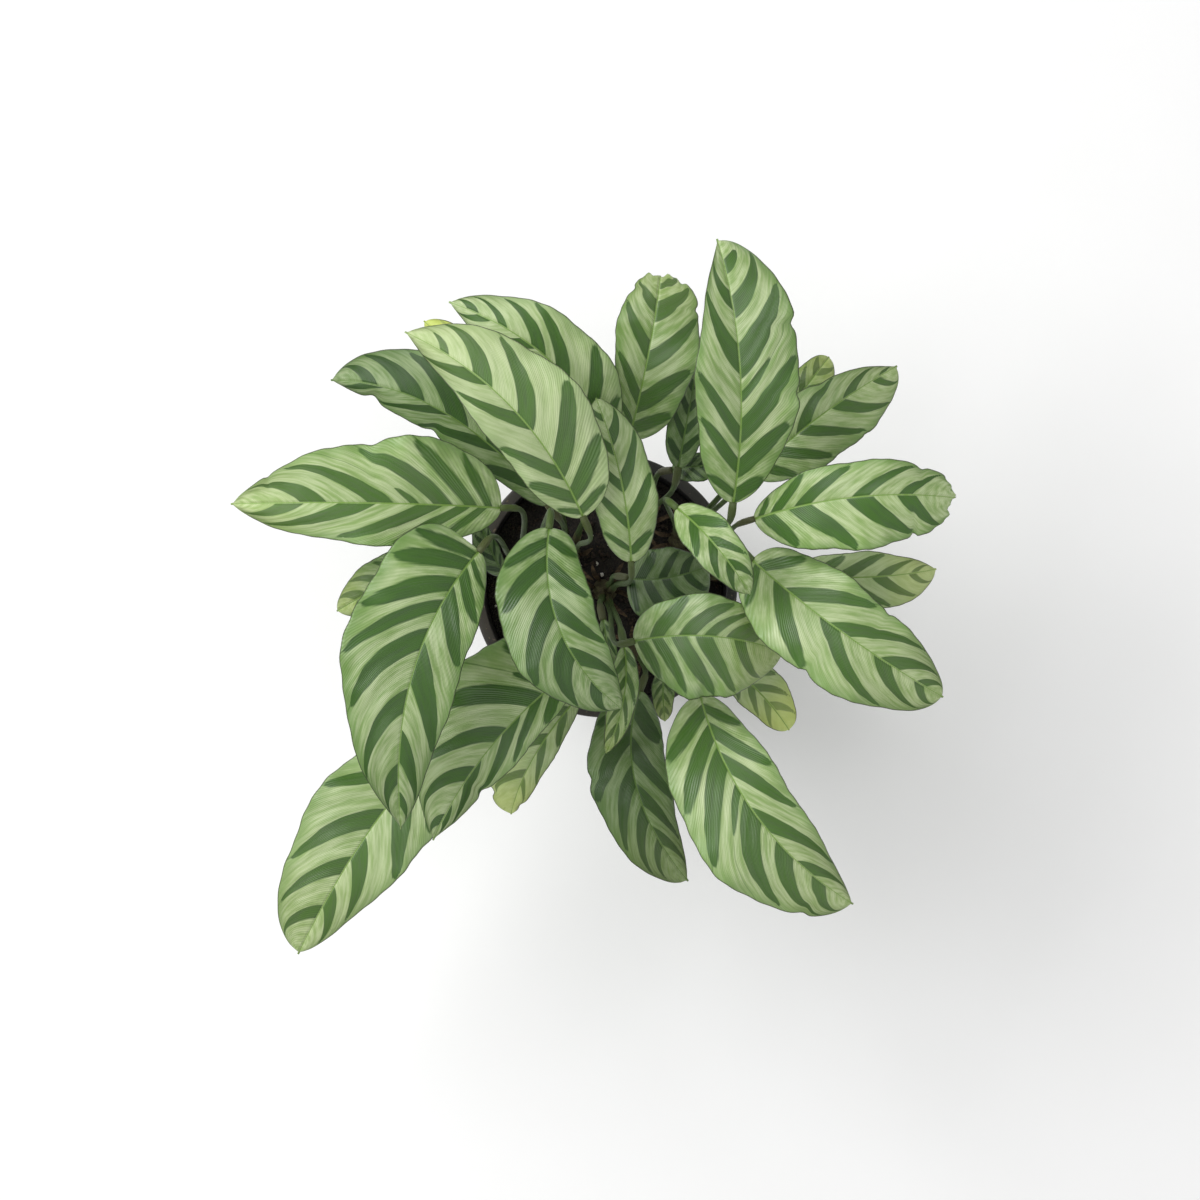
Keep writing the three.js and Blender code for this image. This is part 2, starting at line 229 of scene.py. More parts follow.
LEAVES = [
    plan("north_east", [733, 503, 266], [740, 370, 306], [717, 239, 302],
         [22.5, 14, 0.38, 0.5, 1.0], [30, -4, 0.55, 0.65, 0.55], 2),
    plan("north", [629, 439, 214], [649, 350, 246], [661, 271, 236],
         [18, 6, 0.6, 0.9, 0.4], [25, -6, 0.5, 0.5, 0.38], 0.8),
    plan("north_west", [606, 438, 228], [546, 357, 258], [449, 302, 246],
         [18, 4, 0.38, 0.5, 0.8], [23, 2, 0.4, 0.5, 0.8], 3),
    plan("north_west", [583, 517, 264], [511, 407, 298], [405, 332, 286],
         [19, 8, 0.34, 0.5, 0.9], [31, 0, 0.38, 0.5, 0.82], 3),
    plan("north_west", [548, 505, 208], [443, 412, 234], [331, 380, 218],
         [13, 2, 0.4, 0.5, 0.8], [27, -4, 0.5, 0.5, 0.75], 2.5),
    plan("west", [501, 508, 230], [365, 503, 260], [231, 504, 244],
         [21, 8, 0.42, 0.5, 0.75], [33.5, 2, 0.3, 0.45, 0.8], 2.5),
    plan("west", [479, 551, 258], [412, 676, 288], [401, 829, 262],
         [23, -10, 0.43, 0.5, 0.75], [38, 8, 0.33, 0.2, 1.0], 3),
    plan("west", [549, 528, 250], [560, 630, 276], [622, 709, 258],
         [20, -8, 0.43, 0.3, 0.6], [28, 8, 0.43, 0.5, 0.8], 2.5),
    plan("south_west", [575, 668, 212], [490, 748, 236], [433, 840, 212],
         [15, -4, 0.4, 0.5, 1.0], [39, 6, 0.3, 0.3, 0.9], 3),
    plan("south_west", [452, 742, 176], [375, 823, 202], [298, 954, 178],
         [29, 0, 0.35, 0.5, 0.7], [33, 4, 0.55, 0.5, 0.5], 2),
    plan("south_west", [578, 697, 158], [534, 757, 182], [511, 814, 172],
         [9, 6, 0.43, 0.5, 0.6], [20, 4, 0.55, 0.5, 0.5], 2),
    plan("south_east", [640, 690, 172], [636, 785, 197], [688, 881, 176],
         [18, -6, 0.43, 0.5, 0.8], [23, 8, 0.43, 0.5, 0.5], 2),
    plan("south_east", [700, 695, 204], [756, 815, 234], [853, 904, 208],
         [22, -4, 0.43, 0.5, 0.8], [34.5, 6, 0.5, 0.5, 0.66], 2.5),
    plan("middle", [634, 641, 230], [710, 636, 250], [784, 652, 232],
         [21, 4, 0.42, 0.5, 0.5], [32, -8, 0.45, 0.5, 0.5], 1.5),
    plan("south_east", [715, 655, 170], [757, 690, 190], [789, 730, 180],
         [14, 6, 0.43, 0.5, 0.45], [11, 4, 0.43, 0.5, 0.45], 1.5),
    plan("east", [752, 560, 240], [842, 632, 266], [943, 697, 246],
         [24, 0, 0.4, 0.4, 0.55], [29, 6, 0.45, 0.35, 0.55], 2),
    plan("east", [790, 575, 198], [868, 577, 220], [936, 569, 208],
         [13, 8, 0.43, 0.5, 0.85], [18, 4, 0.43, 0.5, 0.6], 2),
    plan("east", [754, 519, 254], [855, 497, 282], [957, 498, 266],
         [18, 6, 0.5, 0.6, 0.35], [26, -4, 0.5, 0.5, 0.42], 0.8),
    plan("north_east", [752, 475, 226], [820, 416, 248], [897, 366, 238],
         [16, 6, 0.4, 0.5, 0.95], [22, -6, 0.5, 0.5, 0.5], 2.5),
    plan("north_east", [768, 440, 198], [800, 395, 220], [829, 357, 212],
         [10, 6, 0.43, 0.5, 0.45], [12, 4, 0.43, 0.5, 0.45], 1.5),
    plan("north_east", [677, 508, 262], [716, 546, 284], [750, 594, 274],
         [12, 25, 0.43, 0.5, 0.6], [12, 20, 0.43, 0.5, 0.6], 2),
    plan("middle", [631, 562, 236], [621, 480, 262], [596, 398, 250],
         [16, 2, 0.43, 0.5, 0.6], [16.5, -10, 0.43, 0.5, 0.6], 2.5),
    plan("middle", [628, 578, 190], [666, 578, 206], [708, 566, 198],
         [16, 4, 0.43, 0.5, 0.5], [23, -4, 0.43, 0.5, 0.5], 1.5),
    plan("middle", [624, 646, 198], [624, 697, 209], [606, 753, 205],
         [7, 30, 0.43, 0.5, 0.6], [8, 30, 0.43, 0.5, 0.6], 1.5),
    plan("north", [678, 468, 208], [688, 415, 222], [697, 366, 218],
         [10, 20, 0.43, 0.5, 0.6], [10, 10, 0.43, 0.5, 0.6], 2),
    plan("north", [672, 470, 194], [698, 466, 206], [725, 465, 202],
         [7, 15, 0.43, 0.5, 0.5], [8, 10, 0.43, 0.5, 0.5], 1.5),
    plan("west", [450, 560, 214], [395, 580, 232], [337, 611, 214],
         [15, 0, 0.43, 0.5, 0.6], [15, 4, 0.43, 0.5, 0.6], 2),
    plan("west", [505, 575, 196], [490, 548, 208], [478, 515, 202],
         [8, 20, 0.43, 0.5, 0.6], [4.5, 15, 0.43, 0.5, 0.6], 1.5),
    plan("north_west", [545, 450, 184], [490, 385, 208], [424, 321, 200],
         [13, 6, 0.43, 0.5, 0.6], [15, 4, 0.5, 0.5, 0.55], 2),
    plan("south_east", [665, 668, 150], [663, 693, 162], [665, 721, 156],
         [6, 10, 0.43, 0.5, 0.5], [6, 10, 0.43, 0.5, 0.5], 1.5),
    plan("middle", [603, 619, 170], [608, 652, 180], [611, 691, 174],
         [5, 12, 0.43, 0.5, 0.6], [4, 8, 0.43, 0.5, 0.6], 1.5),
]
print("leaves:", len(LEAVES))

# %% [markdown]
# ## The leaves: how a blade is shaped
# A prayer plant's blade is an oval with a short drawn-out tip. Its two halves arch a little on each side
# of the midrib and its margins wave. Subdividing and sculpting a plane could give that shape, but a
# formula gives every blade the same kind of growth with its own numbers, and its points are known, so the
# stripes can be placed on them later. A place on the blade has two numbers: its share of the length, from
# base to tip, and how far across it lies, from -1 at the left margin to 1 at the right one. A real plant
# has been knocked about, so the margins get small scallops, the larger dents are placed one by one, and
# two blades end in a torn tip.

# %% The form of a blade
OVAL_END = 0.992
DRIP_TIP_LENGTH = 0.12
BASE_HALF_WIDTH = 1.1
TIP_HALF_WIDTH = 0.45
HALF_ARCH = 0.07
WAVES = 2.6
WAVE_HEIGHT = 0.075
WAVE_RIPPLE = 0.035
WAVE_SHIFT = 2.1
GOLDEN_TURN = math.pi * (math.sqrt(5) - 1)
SCALLOPS = 9.5
SCALLOP_GROUPS = 3.3
SCALLOP_DEPTH = 0.012
LEFT = 0
RIGHT = 1
# Leaf number: side, share of the length, depth in mm and half length as a share, of each dent
DENTS = {
    1: ((RIGHT, 0.65, 2.2, 0.02), (RIGHT, 0.41, 1.6, 0.025)),
    2: ((RIGHT, 0.78, 1.8, 0.02), (LEFT, 0.86, 1.6, 0.03)),
    5: ((LEFT, 0.8, 2.6, 0.035), (LEFT, 0.5, 1.8, 0.03)),
    6: ((RIGHT, 0.48, 1.5, 0.03), (RIGHT, 0.86, 1.0, 0.012)),
    9: ((LEFT, 0.68, 2.0, 0.03),),
    11: ((RIGHT, 0.86, 2.4, 0.03), (LEFT, 0.9, 1.2, 0.03)),
    12: ((RIGHT, 0.43, 1.8, 0.025),),
    13: ((RIGHT, 0.87, 1.8, 0.02),),
    16: ((RIGHT, 0.47, 2.0, 0.02), (LEFT, 0.62, 0.9, 0.015)),
    18: ((RIGHT, 0.79, 2.6, 0.015), (LEFT, 0.82, 1.6, 0.02)),
    19: ((RIGHT, 0.65, 1.0, 0.02), (LEFT, 0.6, 1.0, 0.03)),
}
DEEPEST_DENT = 0.5
TORN_TIPS = (2, 18)
TEAR_DEPTH = 4.5
TEAR_START = 0.86
# Turns of the tears' two waves, in radians for each millimetre across, and the first one's share
WIDE_TEARS = 0.55
NARROW_TEARS = 1.3
WIDE_SHARE = 0.6


def midrib(leaf, share):
    """Places on the midrib and the direction in which it runs there."""
    base, mid, tip = leaf.base, leaf.mid, leaf.tip
    bend = 2 * mid - base / 2 - tip / 2
    t = np.asarray(share, float)[..., None]
    place = (1 - t) ** 2 * base + 2 * t * (1 - t) * bend + t**2 * tip
    run = (1 - t) * (bend - base) + t * (tip - bend)
    return place, run / np.linalg.norm(run, axis=-1, keepdims=True)


def half_width(share, right, leaf):
    """How far the margin is from the midrib. right is true on the right half."""
    pairs = (leaf.widest, leaf.root, leaf.taper, leaf.half)
    widest, root, taper, half = (np.where(right, pair[1], pair[0]) for pair in pairs)
    body = np.minimum(share / OVAL_END, 1)
    near_base = body < widest
    off = np.where(near_base, 1 - body / widest, (body - widest) / (1 - widest))
    oval = half * (1 - off**2) ** np.where(near_base, root, taper)
    drip = np.where(near_base, 0, leaf.drip * np.minimum(1, (1 - share) / DRIP_TIP_LENGTH))
    end = BASE_HALF_WIDTH + (TIP_HALF_WIDTH - BASE_HALF_WIDTH) * share
    return np.maximum(np.hypot(oval, drip), end)


def dented(width, number, share, right):
    """Takes the dents and the small scallops out of the margin."""
    phase = number * GOLDEN_TURN + right
    scallop = np.sin(2 * np.pi * SCALLOPS * share + phase)
    scallop = scallop * np.sin(2 * np.pi * SCALLOP_GROUPS * share + 2 * phase)
    width = width * (1 - SCALLOP_DEPTH * (1 + scallop))
    for side, place, depth, reach in DENTS.get(number, ()):
        dent = depth * np.exp(-(((share - place) / reach) ** 2))
        width = width - np.where(right == (side == RIGHT), np.minimum(dent, DEEPEST_DENT * width), 0)
    return width


def torn_off(share, sideways, number):
    """How many millimetres a torn tip is shorter at each place. sideways is measured from the midrib."""
    tear = np.sin(sideways * WIDE_TEARS + number) * WIDE_SHARE
    tear = tear + np.sin(sideways * NARROW_TEARS) * (1 - WIDE_SHARE)
    return TEAR_DEPTH * (0.5 + 0.5 * tear) * np.clip((share - TEAR_START) / (1 - TEAR_START), 0, 1)


def blade_surface(leaf, number, share, across):
    """Places on a blade, and how wide its half is there. share and across are grids of one size."""
    centre, run = midrib(leaf, share)
    flat = run[..., :2] / np.linalg.norm(run[..., :2], axis=-1, keepdims=True)
    right = across >= 0
    reach = np.abs(across)
    wave = np.sin(2 * np.pi * WAVES * share + (number - 1) * GOLDEN_TURN + right * WAVE_SHIFT)
    width = half_width(share, right, leaf) * (1 + WAVE_RIPPLE * wave)
    width = dented(width, number, share, right)
    slope = reach * np.tan(np.radians(np.where(right, leaf.lift[1], leaf.lift[0])))
    arch = HALF_ARCH * 4 * reach * (1 - reach)
    lift = width * (slope + arch + WAVE_HEIGHT * wave * reach**2)
    offset = np.stack([flat[..., 1] * width * across, -flat[..., 0] * width * across, lift], axis=-1)
    if number in TORN_TIPS:
        offset = offset - run * torn_off(share, width * across, number)[..., None]
    return centre + offset, width


print("first blade is", round(float(np.linalg.norm(LEAVES[0].tip - LEAVES[0].base))), "mm long")

# %% [markdown]
# ## The leaves: veins and bands
# The side veins leave the midrib at a low angle, run outwards and bend forwards, and meet the margin well
# towards the tip. Each dark band lies along such veins, begins at the midrib and ends in a point short of
# the margin, and the bands of the two sides don't face each other. So each point of the blade is told
# from which share of the midrib its vein comes. A band is then only a stretch of the midrib, given by the
# shares where it starts and stops. The stretches were read from the picture, leaf by leaf. Painting
# the bands by hand would be freer, but it would tie them to one mesh.
# The sharp edge of a band isn't cut into the mesh: the mesh carries the distance to the nearest band's
# edge in millimetres, which changes evenly between its points, and the material draws the line where that
# distance is nought.

# %% Where the bands lie on each midrib
# Leaf number: (bands on the left), (bands on the right). A band has the two shares of the midrib between
# which it starts. A third number is how far towards the margin a short band reaches.
BANDS = {
    1: (((0.02, 0.05), (0.11, 0.17), (0.22, 0.29), (0.48, 0.6), (0.72, 0.8)),
        ((0, 0.06), (0.09, 0.17), (0.22, 0.32), (0.375, 0.42, 0.55), (0.46, 0.6), (0.69, 0.78),
         (0.86, 0.92, 0.6))),
    2: (((0.05, 0.1), (0.18, 0.27), (0.44, 0.56), (0.72, 0.81)),
        ((0.03, 0.1), (0.14, 0.26), (0.37, 0.5), (0.66, 0.8), (0.88, 0.94))),
    3: (((0.05, 0.1), (0.17, 0.25), (0.36, 0.45), (0.56, 0.65), (0.8, 0.87)),
        ((0.03, 0.08), (0.13, 0.21), (0.34, 0.44), (0.5, 0.59), (0.72, 0.77), (0.86, 0.92))),
    4: (((0.01, 0.035), (0.055, 0.11), (0.15, 0.22), (0.38, 0.48), (0.62, 0.74)),
        ((0.01, 0.04), (0.06, 0.12), (0.16, 0.25), (0.37, 0.47), (0.6, 0.7), (0.81, 0.85, 0.6))),
    5: (((0.06, 0.14), (0.24, 0.34), (0.47, 0.56), (0.76, 0.87)),
        ((0.06, 0.14), (0.2, 0.3), (0.38, 0.49), (0.58, 0.69), (0.79, 0.86))),
    6: (((0.05, 0.085), (0.11, 0.165), (0.21, 0.31), (0.455, 0.6), (0.72, 0.83)),
        ((0.03, 0.06), (0.085, 0.135), (0.175, 0.25), (0.3, 0.335, 0.25), (0.39, 0.49), (0.635, 0.74))),
    7: (((0.03, 0.05), (0.07, 0.12), (0.15, 0.24), (0.37, 0.53), (0.68, 0.79), (0.88, 0.93)),
        ((0.01, 0.04), (0.045, 0.09), (0.12, 0.18), (0.21, 0.265), (0.32, 0.41), (0.54, 0.63),
         (0.79, 0.86))),
    8: (((0.03, 0.07), (0.13, 0.21), (0.33, 0.45), (0.59, 0.71)),
        ((0.04, 0.09), (0.12, 0.2), (0.31, 0.44), (0.53, 0.67), (0.8, 0.88))),
    9: (((0.05, 0.12), (0.17, 0.25), (0.3, 0.42), (0.56, 0.7), (0.8, 0.9)),
        ((0.03, 0.08), (0.1, 0.14, 0.5), (0.17, 0.26), (0.38, 0.47), (0.6, 0.69), (0.86, 0.92))),
    10: (((0.04, 0.1), (0.14, 0.22), (0.28, 0.4), (0.56, 0.66), (0.76, 0.84)),
         ((0.05, 0.12), (0.2, 0.28), (0.43, 0.53), (0.645, 0.72), (0.83, 0.88))),
    11: (((0.1, 0.2), (0.33, 0.46), (0.66, 0.74)),
         ((0.08, 0.16), (0.3, 0.4), (0.6, 0.68))),
    12: (((0.04, 0.15), (0.24, 0.37), (0.49, 0.61), (0.71, 0.81)),
         ((0.05, 0.1), (0.18, 0.29), (0.39, 0.51), (0.6, 0.69), (0.77, 0.82))),
    13: (((0.03, 0.07), (0.1, 0.175), (0.22, 0.32), (0.46, 0.59), (0.73, 0.82)),
         ((0.035, 0.085), (0.11, 0.18), (0.2, 0.3), (0.355, 0.4, 0.45), (0.42, 0.54), (0.62, 0.72),
          (0.81, 0.88))),
    14: (((0.1, 0.2), (0.29, 0.41), (0.46, 0.54), (0.6, 0.8)),
         ((0.02, 0.08), (0.11, 0.19), (0.24, 0.35), (0.4, 0.52), (0.66, 0.74))),
    15: (((0.2, 0.31), (0.42, 0.53), (0.65, 0.76)), ((0.16, 0.26), (0.37, 0.48), (0.6, 0.71))),
    16: (((0.03, 0.08), (0.19, 0.29), (0.43, 0.54), (0.69, 0.79), (0.87, 0.92)),
         ((0.02, 0.055), (0.13, 0.22), (0.38, 0.49), (0.66, 0.75), (0.86, 0.91))),
    17: (((0.1, 0.2), (0.27, 0.4), (0.55, 0.66), (0.8, 0.86)),
         ((0.12, 0.22), (0.3, 0.4), (0.52, 0.63), (0.78, 0.84))),
    18: (((0.02, 0.05), (0.08, 0.14), (0.2, 0.29), (0.48, 0.57), (0.71, 0.78)),
         ((0.03, 0.1), (0.17, 0.29), (0.45, 0.59), (0.7, 0.8))),
    19: (((0.1, 0.18), (0.33, 0.44), (0.65, 0.74), (0.88, 0.93)),
         ((0.04, 0.1), (0.16, 0.24), (0.34, 0.43), (0.57, 0.67), (0.84, 0.89))),
    21: (((0.12, 0.26), (0.38, 0.51), (0.64, 0.76)), ((0.16, 0.28), (0.4, 0.53), (0.65, 0.77))),
    22: (((0.06, 0.1), (0.2, 0.28), (0.42, 0.5), (0.64, 0.72), (0.85, 0.9)),
         ((0.04, 0.1), (0.2, 0.3), (0.42, 0.54), (0.7, 0.8))),
    23: (((0.1, 0.25), (0.4, 0.52), (0.66, 0.78)), ((0.02, 0.1), (0.2, 0.32), (0.44, 0.55), (0.7, 0.8))),
}
SMALL_LEAF_BANDS = 4
SMALL_LEAF_DARK = 0.46
SMALL_LEAF_CROWDING = 1.1
# The rule for leaves without a row: where the first band starts, and how much later on the right half
FIRST_BAND = 0.05
FIRST_BAND_SPREAD = 0.02
LAST_BAND_END = 0.97
SIDE_SHIFT = 0.06


def even_bands(start):
    """Bands for the smallest leaves, closer together near the base."""
    steps = (np.arange(SMALL_LEAF_BANDS + 1) / SMALL_LEAF_BANDS) ** SMALL_LEAF_CROWDING
    edges = start + (LAST_BAND_END - start) * steps
    return tuple((low, low + SMALL_LEAF_DARK * (high - low)) for low, high in zip(edges, edges[1:]))


def bands_of(number):
    """The bands of the left half and of the right half."""
    start = FIRST_BAND + FIRST_BAND_SPREAD * math.sin(number * GOLDEN_TURN)
    return BANDS.get(number, (even_bands(start), even_bands(start + SIDE_SHIFT)))


print("leaves with bands placed by hand:", len(BANDS))

# %% [markdown]
# Two steps turn those stretches into stripes. The first follows the veins: near the base they sweep far
# forwards before they meet the margin, and less so towards the tip. On a few leaves they sweep more than
# on the others. The second gives each band its outline, with a fuller middle and a rounded point.

# %% From veins to bands
VEIN_SWEEP = 2.75
VEIN_SWEEP_FADE = 1.0
# Leaf number: how much more its veins sweep forwards
EXTRA_SWEEP = {6: 0.8, 9: 0.4, 12: 0.3, 13: 0.4, 16: 0.6}
VEIN_BEND = 1.2
VEINS_BEFORE_BASE = 0.6
VEIN_STEPS = 320
BAND_REACH = 0.95
BAND_REACH_SPREAD = 0.03
BAND_FULLNESS = 0.95
BAND_SWELL = 0.12
SWELL_LENGTH = 1.3
# How late each edge of a band turns in, and how bluntly it ends
TIPWARD_EDGE = (5, 0.6)
BASEWARD_EDGE = (2.6, 0.7)
BEYOND_THE_END = 20
FAR_OUTSIDE = -99.0


def vein_origin(share, reach, number):
    """The share of the midrib that the vein through each point comes from. One column has one reach."""
    start = np.linspace(-VEINS_BEFORE_BASE, 1, VEIN_STEPS)
    sweep = VEIN_SWEEP + EXTRA_SWEEP.get(number, 0) - VEIN_SWEEP_FADE * start
    margin = np.where(start < 0, sweep * start, 1 - (1 - start) ** sweep)
    origin = np.empty_like(share)
    for column in range(share.shape[1]):
        along = start + (margin - start) * reach[0, column] ** VEIN_BEND
        origin[:, column] = np.interp(share[:, column], along, start)
    return origin


def bands_passed(centres, origin):
    """How many bands lie between the base and each point. It goes on evenly before and after them."""
    gaps = np.gradient(centres)
    count = len(centres)
    knots = [centres[0] - 3 * gaps[0], *centres, centres[-1] + 3 * gaps[-1]]
    return np.interp(origin, knots, [-3, *range(count), count + 2])


def narrowed(half, gone, edge):
    """Half the width of a band, from the midrib (gone is 0) to its end (gone is 1)."""
    lateness, bluntness = edge
    return half * np.maximum(1 - gone**lateness, 0) ** bluntness


def band_fields(bands, origin, reach, length, number):
    """The number of bands passed from base to tip, and the distance inside the nearest band's edge."""
    centres = np.array([(band[0] + band[1]) / 2 for band in bands])
    inside = np.full_like(origin, FAR_OUTSIDE)
    for k, (centre, band) in enumerate(zip(centres, bands)):
        ends = band[2] if len(band) > 2 else BAND_REACH + BAND_REACH_SPREAD * math.sin(2.4 * k + number)
        gone = reach / ends
        swell = 1 + BAND_SWELL * np.sin(np.pi * np.clip(SWELL_LENGTH * gone, 0, 1))
        half = (band[1] - band[0]) / 2 * length * BAND_FULLNESS * swell
        off = (origin - centre) * length
        tipward = narrowed(half, gone, TIPWARD_EDGE) - off
        baseward = narrowed(half, gone, BASEWARD_EDGE) + off
        beyond = (1 - gone) * BEYOND_THE_END - np.abs(off)
        inside = np.maximum(inside, np.where(gone < 1, np.where(off > 0, tipward, baseward), beyond))
    return bands_passed(centres, origin), inside


print("vein and band functions ready")

# %% [markdown]
# ## The leaves: the mesh of one blade
# A real blade is about a third of a millimetre thick, and a thin edge shows it. Here it is a little over
# half a millimetre, so that it is a sound solid, and it thins out at the margin. The mesh is a grid for
# the top, the same grid again for the underside, and a strip that closes the margin. A plane with a
# Solidify modifier would be quicker, but it couldn't have the keel under the midrib. The relief between
# the side veins is low, but it catches the light, so it is in the mesh and not only in the material. It
# only goes down from the smooth form, never up, so that the blade stays as high as its plain solid.

# %% Helpers for pieces
def mesh_piece(name, points, faces):
    """A smooth mesh object from places in millimetres."""
    mesh = bpy.data.meshes.new(name)
    mesh.from_pydata((np.asarray(points) * MM).tolist(), [], faces)
    mesh.polygons.foreach_set("use_smooth", np.full(len(mesh.polygons), True))
    mesh.update()
    piece = bpy.data.objects.new(name, mesh)
    scene.collection.objects.link(piece)
    return piece


def carry(piece, name, values):
    """Stores three values at each point of the mesh, for the material to read."""
    layer = piece.data.attributes.new(name, "FLOAT_VECTOR", "POINT")
    layer.data.foreach_set("vector", np.asarray(values, np.float32).ravel())


def settle(piece, nodes, slot, *materials):
    """Gives a piece its materials and its body, and hides the solids from the frame that it stands for.
    slot is not used.
    """
    for material in materials:
        piece.data.materials.append(material)
    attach(piece, "root")
    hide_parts(*nodes)
    return piece


def grid_faces(rows, columns, first=0, flip=False):
    faces = []
    for row in range(rows - 1):
        for column in range(columns - 1):
            corner = first + row * columns + column
            face = (corner, corner + 1, corner + columns + 1, corner + columns)
            faces.append(face[::-1] if flip else face)
    return faces


def grid_rim(rows, columns):
    """The points round the edge of a grid, in order."""
    rim = list(range(columns))
    rim += [row * columns + columns - 1 for row in range(1, rows)]
    rim += [(rows - 1) * columns + column for column in range(columns - 2, -1, -1)]
    return rim + [row * columns for row in range(rows - 2, 0, -1)]


print("piece helpers ready")

# %% Build one blade
BLADE_HALF_THICKNESS = 0.28
MARGIN_THINNING = 0.6
KEEL = 1.0
KEEL_HALF_WIDTH = 1.2
QUILT_HEIGHT = 0.32
QUILTS_PER_BAND = 2
RUFFLE_HEIGHT = 0.02
RUFFLES = 9
FLAT_END = 0.03
MIDRIB_STEPS = 60
ROW_LENGTH = 1.15
FEWEST_ROWS = 24
COLUMN_WIDTH = 1.5
FEWEST_HALF_COLUMNS = 7


def blade_grid(leaf, length):
    """Shares of the length and places across, as two grids. The rows crowd together at both ends."""
    rows = max(FEWEST_ROWS, round(length / ROW_LENGTH)) + 1
    half_columns = max(FEWEST_HALF_COLUMNS, round(max(leaf.half) / COLUMN_WIDTH))
    columns = 2 * half_columns + 1
    steps = (1 - np.cos(np.pi * np.arange(rows) / (rows - 1))) / 2
    return np.meshgrid(steps, np.linspace(-1, 1, columns), indexing="ij")


def relief_between_veins(number, share, across, width, passed):
    """The height of the quilted surface and the ruffled margin over the smooth form, always below 0."""
    reach = np.abs(across)
    quilt = -QUILT_HEIGHT * (1 + np.cos(2 * np.pi * QUILTS_PER_BAND * passed))
    quilt = quilt * (4 * reach * (1 - reach)) ** 0.7
    ruffle = np.sin(2 * np.pi * RUFFLES * share + 5 * number + 2 * (across > 0))
    ruffle = RUFFLE_HEIGHT * width * reach**4 * (ruffle - 1)
    return (quilt + ruffle) * np.sin(np.pi * np.clip(share, FLAT_END, 1 - FLAT_END)) ** 0.5


def two_skins(place, share, reach, width):
    """The points of the top and of the underside, which has a keel under the midrib."""
    along = np.gradient(place, axis=0)
    sideways = np.gradient(place, axis=1)
    normal = np.cross(sideways, along)
    normal /= np.maximum(np.linalg.norm(normal, axis=-1, keepdims=True), 1e-9)
    half_thick = BLADE_HALF_THICKNESS * (1 - MARGIN_THINNING * reach**6)
    keel = KEEL * (1 - share) * np.exp(-((reach * width / KEEL_HALF_WIDTH) ** 2))
    top = place + normal * half_thick[..., None]
    bottom = place - normal * (half_thick + keel)[..., None]
    return np.concatenate([top.reshape(-1, 3), bottom.reshape(-1, 3)])


def on_both_skins(*grids):
    """Three values for each point of the top, and the same again for the underside."""
    one_skin = np.stack([grid.reshape(-1) for grid in grids], axis=1)
    return np.concatenate([one_skin, one_skin])


def blade(number, leaf, age_and_painted_light):
    """One leaf blade. The last argument is how yellow the leaf is, how much painted shade darkens its
    colour and how pale it is, which is young green and on a few low leaves painted light.
    """
    line, _ = midrib(leaf, np.linspace(0, 1, MIDRIB_STEPS))
    length = float(np.linalg.norm(np.diff(line, axis=0), axis=1).sum())
    share, across = blade_grid(leaf, length)
    rows, columns = share.shape
    reach = np.abs(across)
    place, width = blade_surface(leaf, number, share, across)
    origin = vein_origin(share, reach, number)
    left, right = bands_of(number)
    left_passed, left_inside = band_fields(left, origin, reach, length, number)
    right_passed, right_inside = band_fields(right, origin, reach, length, number + 1)
    passed = np.where(across < 0, left_passed, right_passed)
    place[..., 2] += relief_between_veins(number, share, across, width, passed)
    points = two_skins(place, share, reach, width)
    below = rows * columns
    faces = grid_faces(rows, columns) + grid_faces(rows, columns, below, flip=True)
    rim = grid_rim(rows, columns)
    edge = [(a, a + below, b + below, b) for a, b in zip(rim, rim[1:] + rim[:1])]
    piece = mesh_piece(f"leaf_{number:02d}_blade", points, faces + edge)
    face_count = (rows - 1) * (columns - 1)
    finish_index = np.concatenate([np.zeros(face_count), np.ones(face_count), np.zeros(len(edge))])
    smooth = np.concatenate([np.ones(2 * face_count), np.zeros(len(edge))]).astype(bool)
    piece.data.polygons.foreach_set("material_index", finish_index.astype(np.int32))
    piece.data.polygons.foreach_set("use_smooth", smooth)
    carry(piece, "blade", on_both_skins(across, share, width))
    carry(piece, "veins", on_both_skins(left_passed, right_passed, origin * length))
    carry(piece, "bands", on_both_skins(left_inside, right_inside, np.zeros_like(share)))
    carry(piece, "age_and_painted_light", np.tile(age_and_painted_light, (2 * below, 1)))
    return piece


print("blade function ready")

# %% [markdown]
# ## The leaves: the striped finish
# On the real leaf the ground is pale sage green, the bands are deep green, the midrib is a fine
# yellow-green line and the margin has a dark purplish edge line. A picture wrapped over the blade could
# give that, but it would be blurred close by and the same on every leaf. Here the finish is worked out
# from the numbers that the mesh carries: one group reads them, one turns them into colour and one into
# relief. The groups are placed twice, with fresh colours for the top and with pale ones for the underside.

# %% Group: the blade's own numbers
fields_group, _, out = new_group(
    "Blade fields",
    [],
    [
        ("Reach", "Float"), ("Share", "Float"), ("From Midrib", "Float"), ("From Margin", "Float"),
        ("Passed", "Float"), ("Vein Place", "Float"), ("Inside Band", "Float"),
        ("Yellow", "Float"), ("Shaded", "Float"), ("Pale", "Float"),
    ],
)
across, share, width = split(fields_group, field(fields_group, "blade"))[0:3]
left_passed, right_passed, vein_place = split(fields_group, field(fields_group, "veins"))[0:3]
left_inside, right_inside = split(fields_group, field(fields_group, "bands"))[0:2]
yellow, shaded, pale = split(fields_group, field(fields_group, "age_and_painted_light"))[0:3]
reach = maths(fields_group, "ABSOLUTE", across)
on_right = maths(fields_group, "GREATER_THAN", across, 0.0)


def pick_side(tree, left, right, chosen):
    """Takes the right side's value where chosen is 1 and the left side's where it is 0."""
    return maths(tree, "MULTIPLY_ADD", maths(tree, "SUBTRACT", right, left), chosen, left)


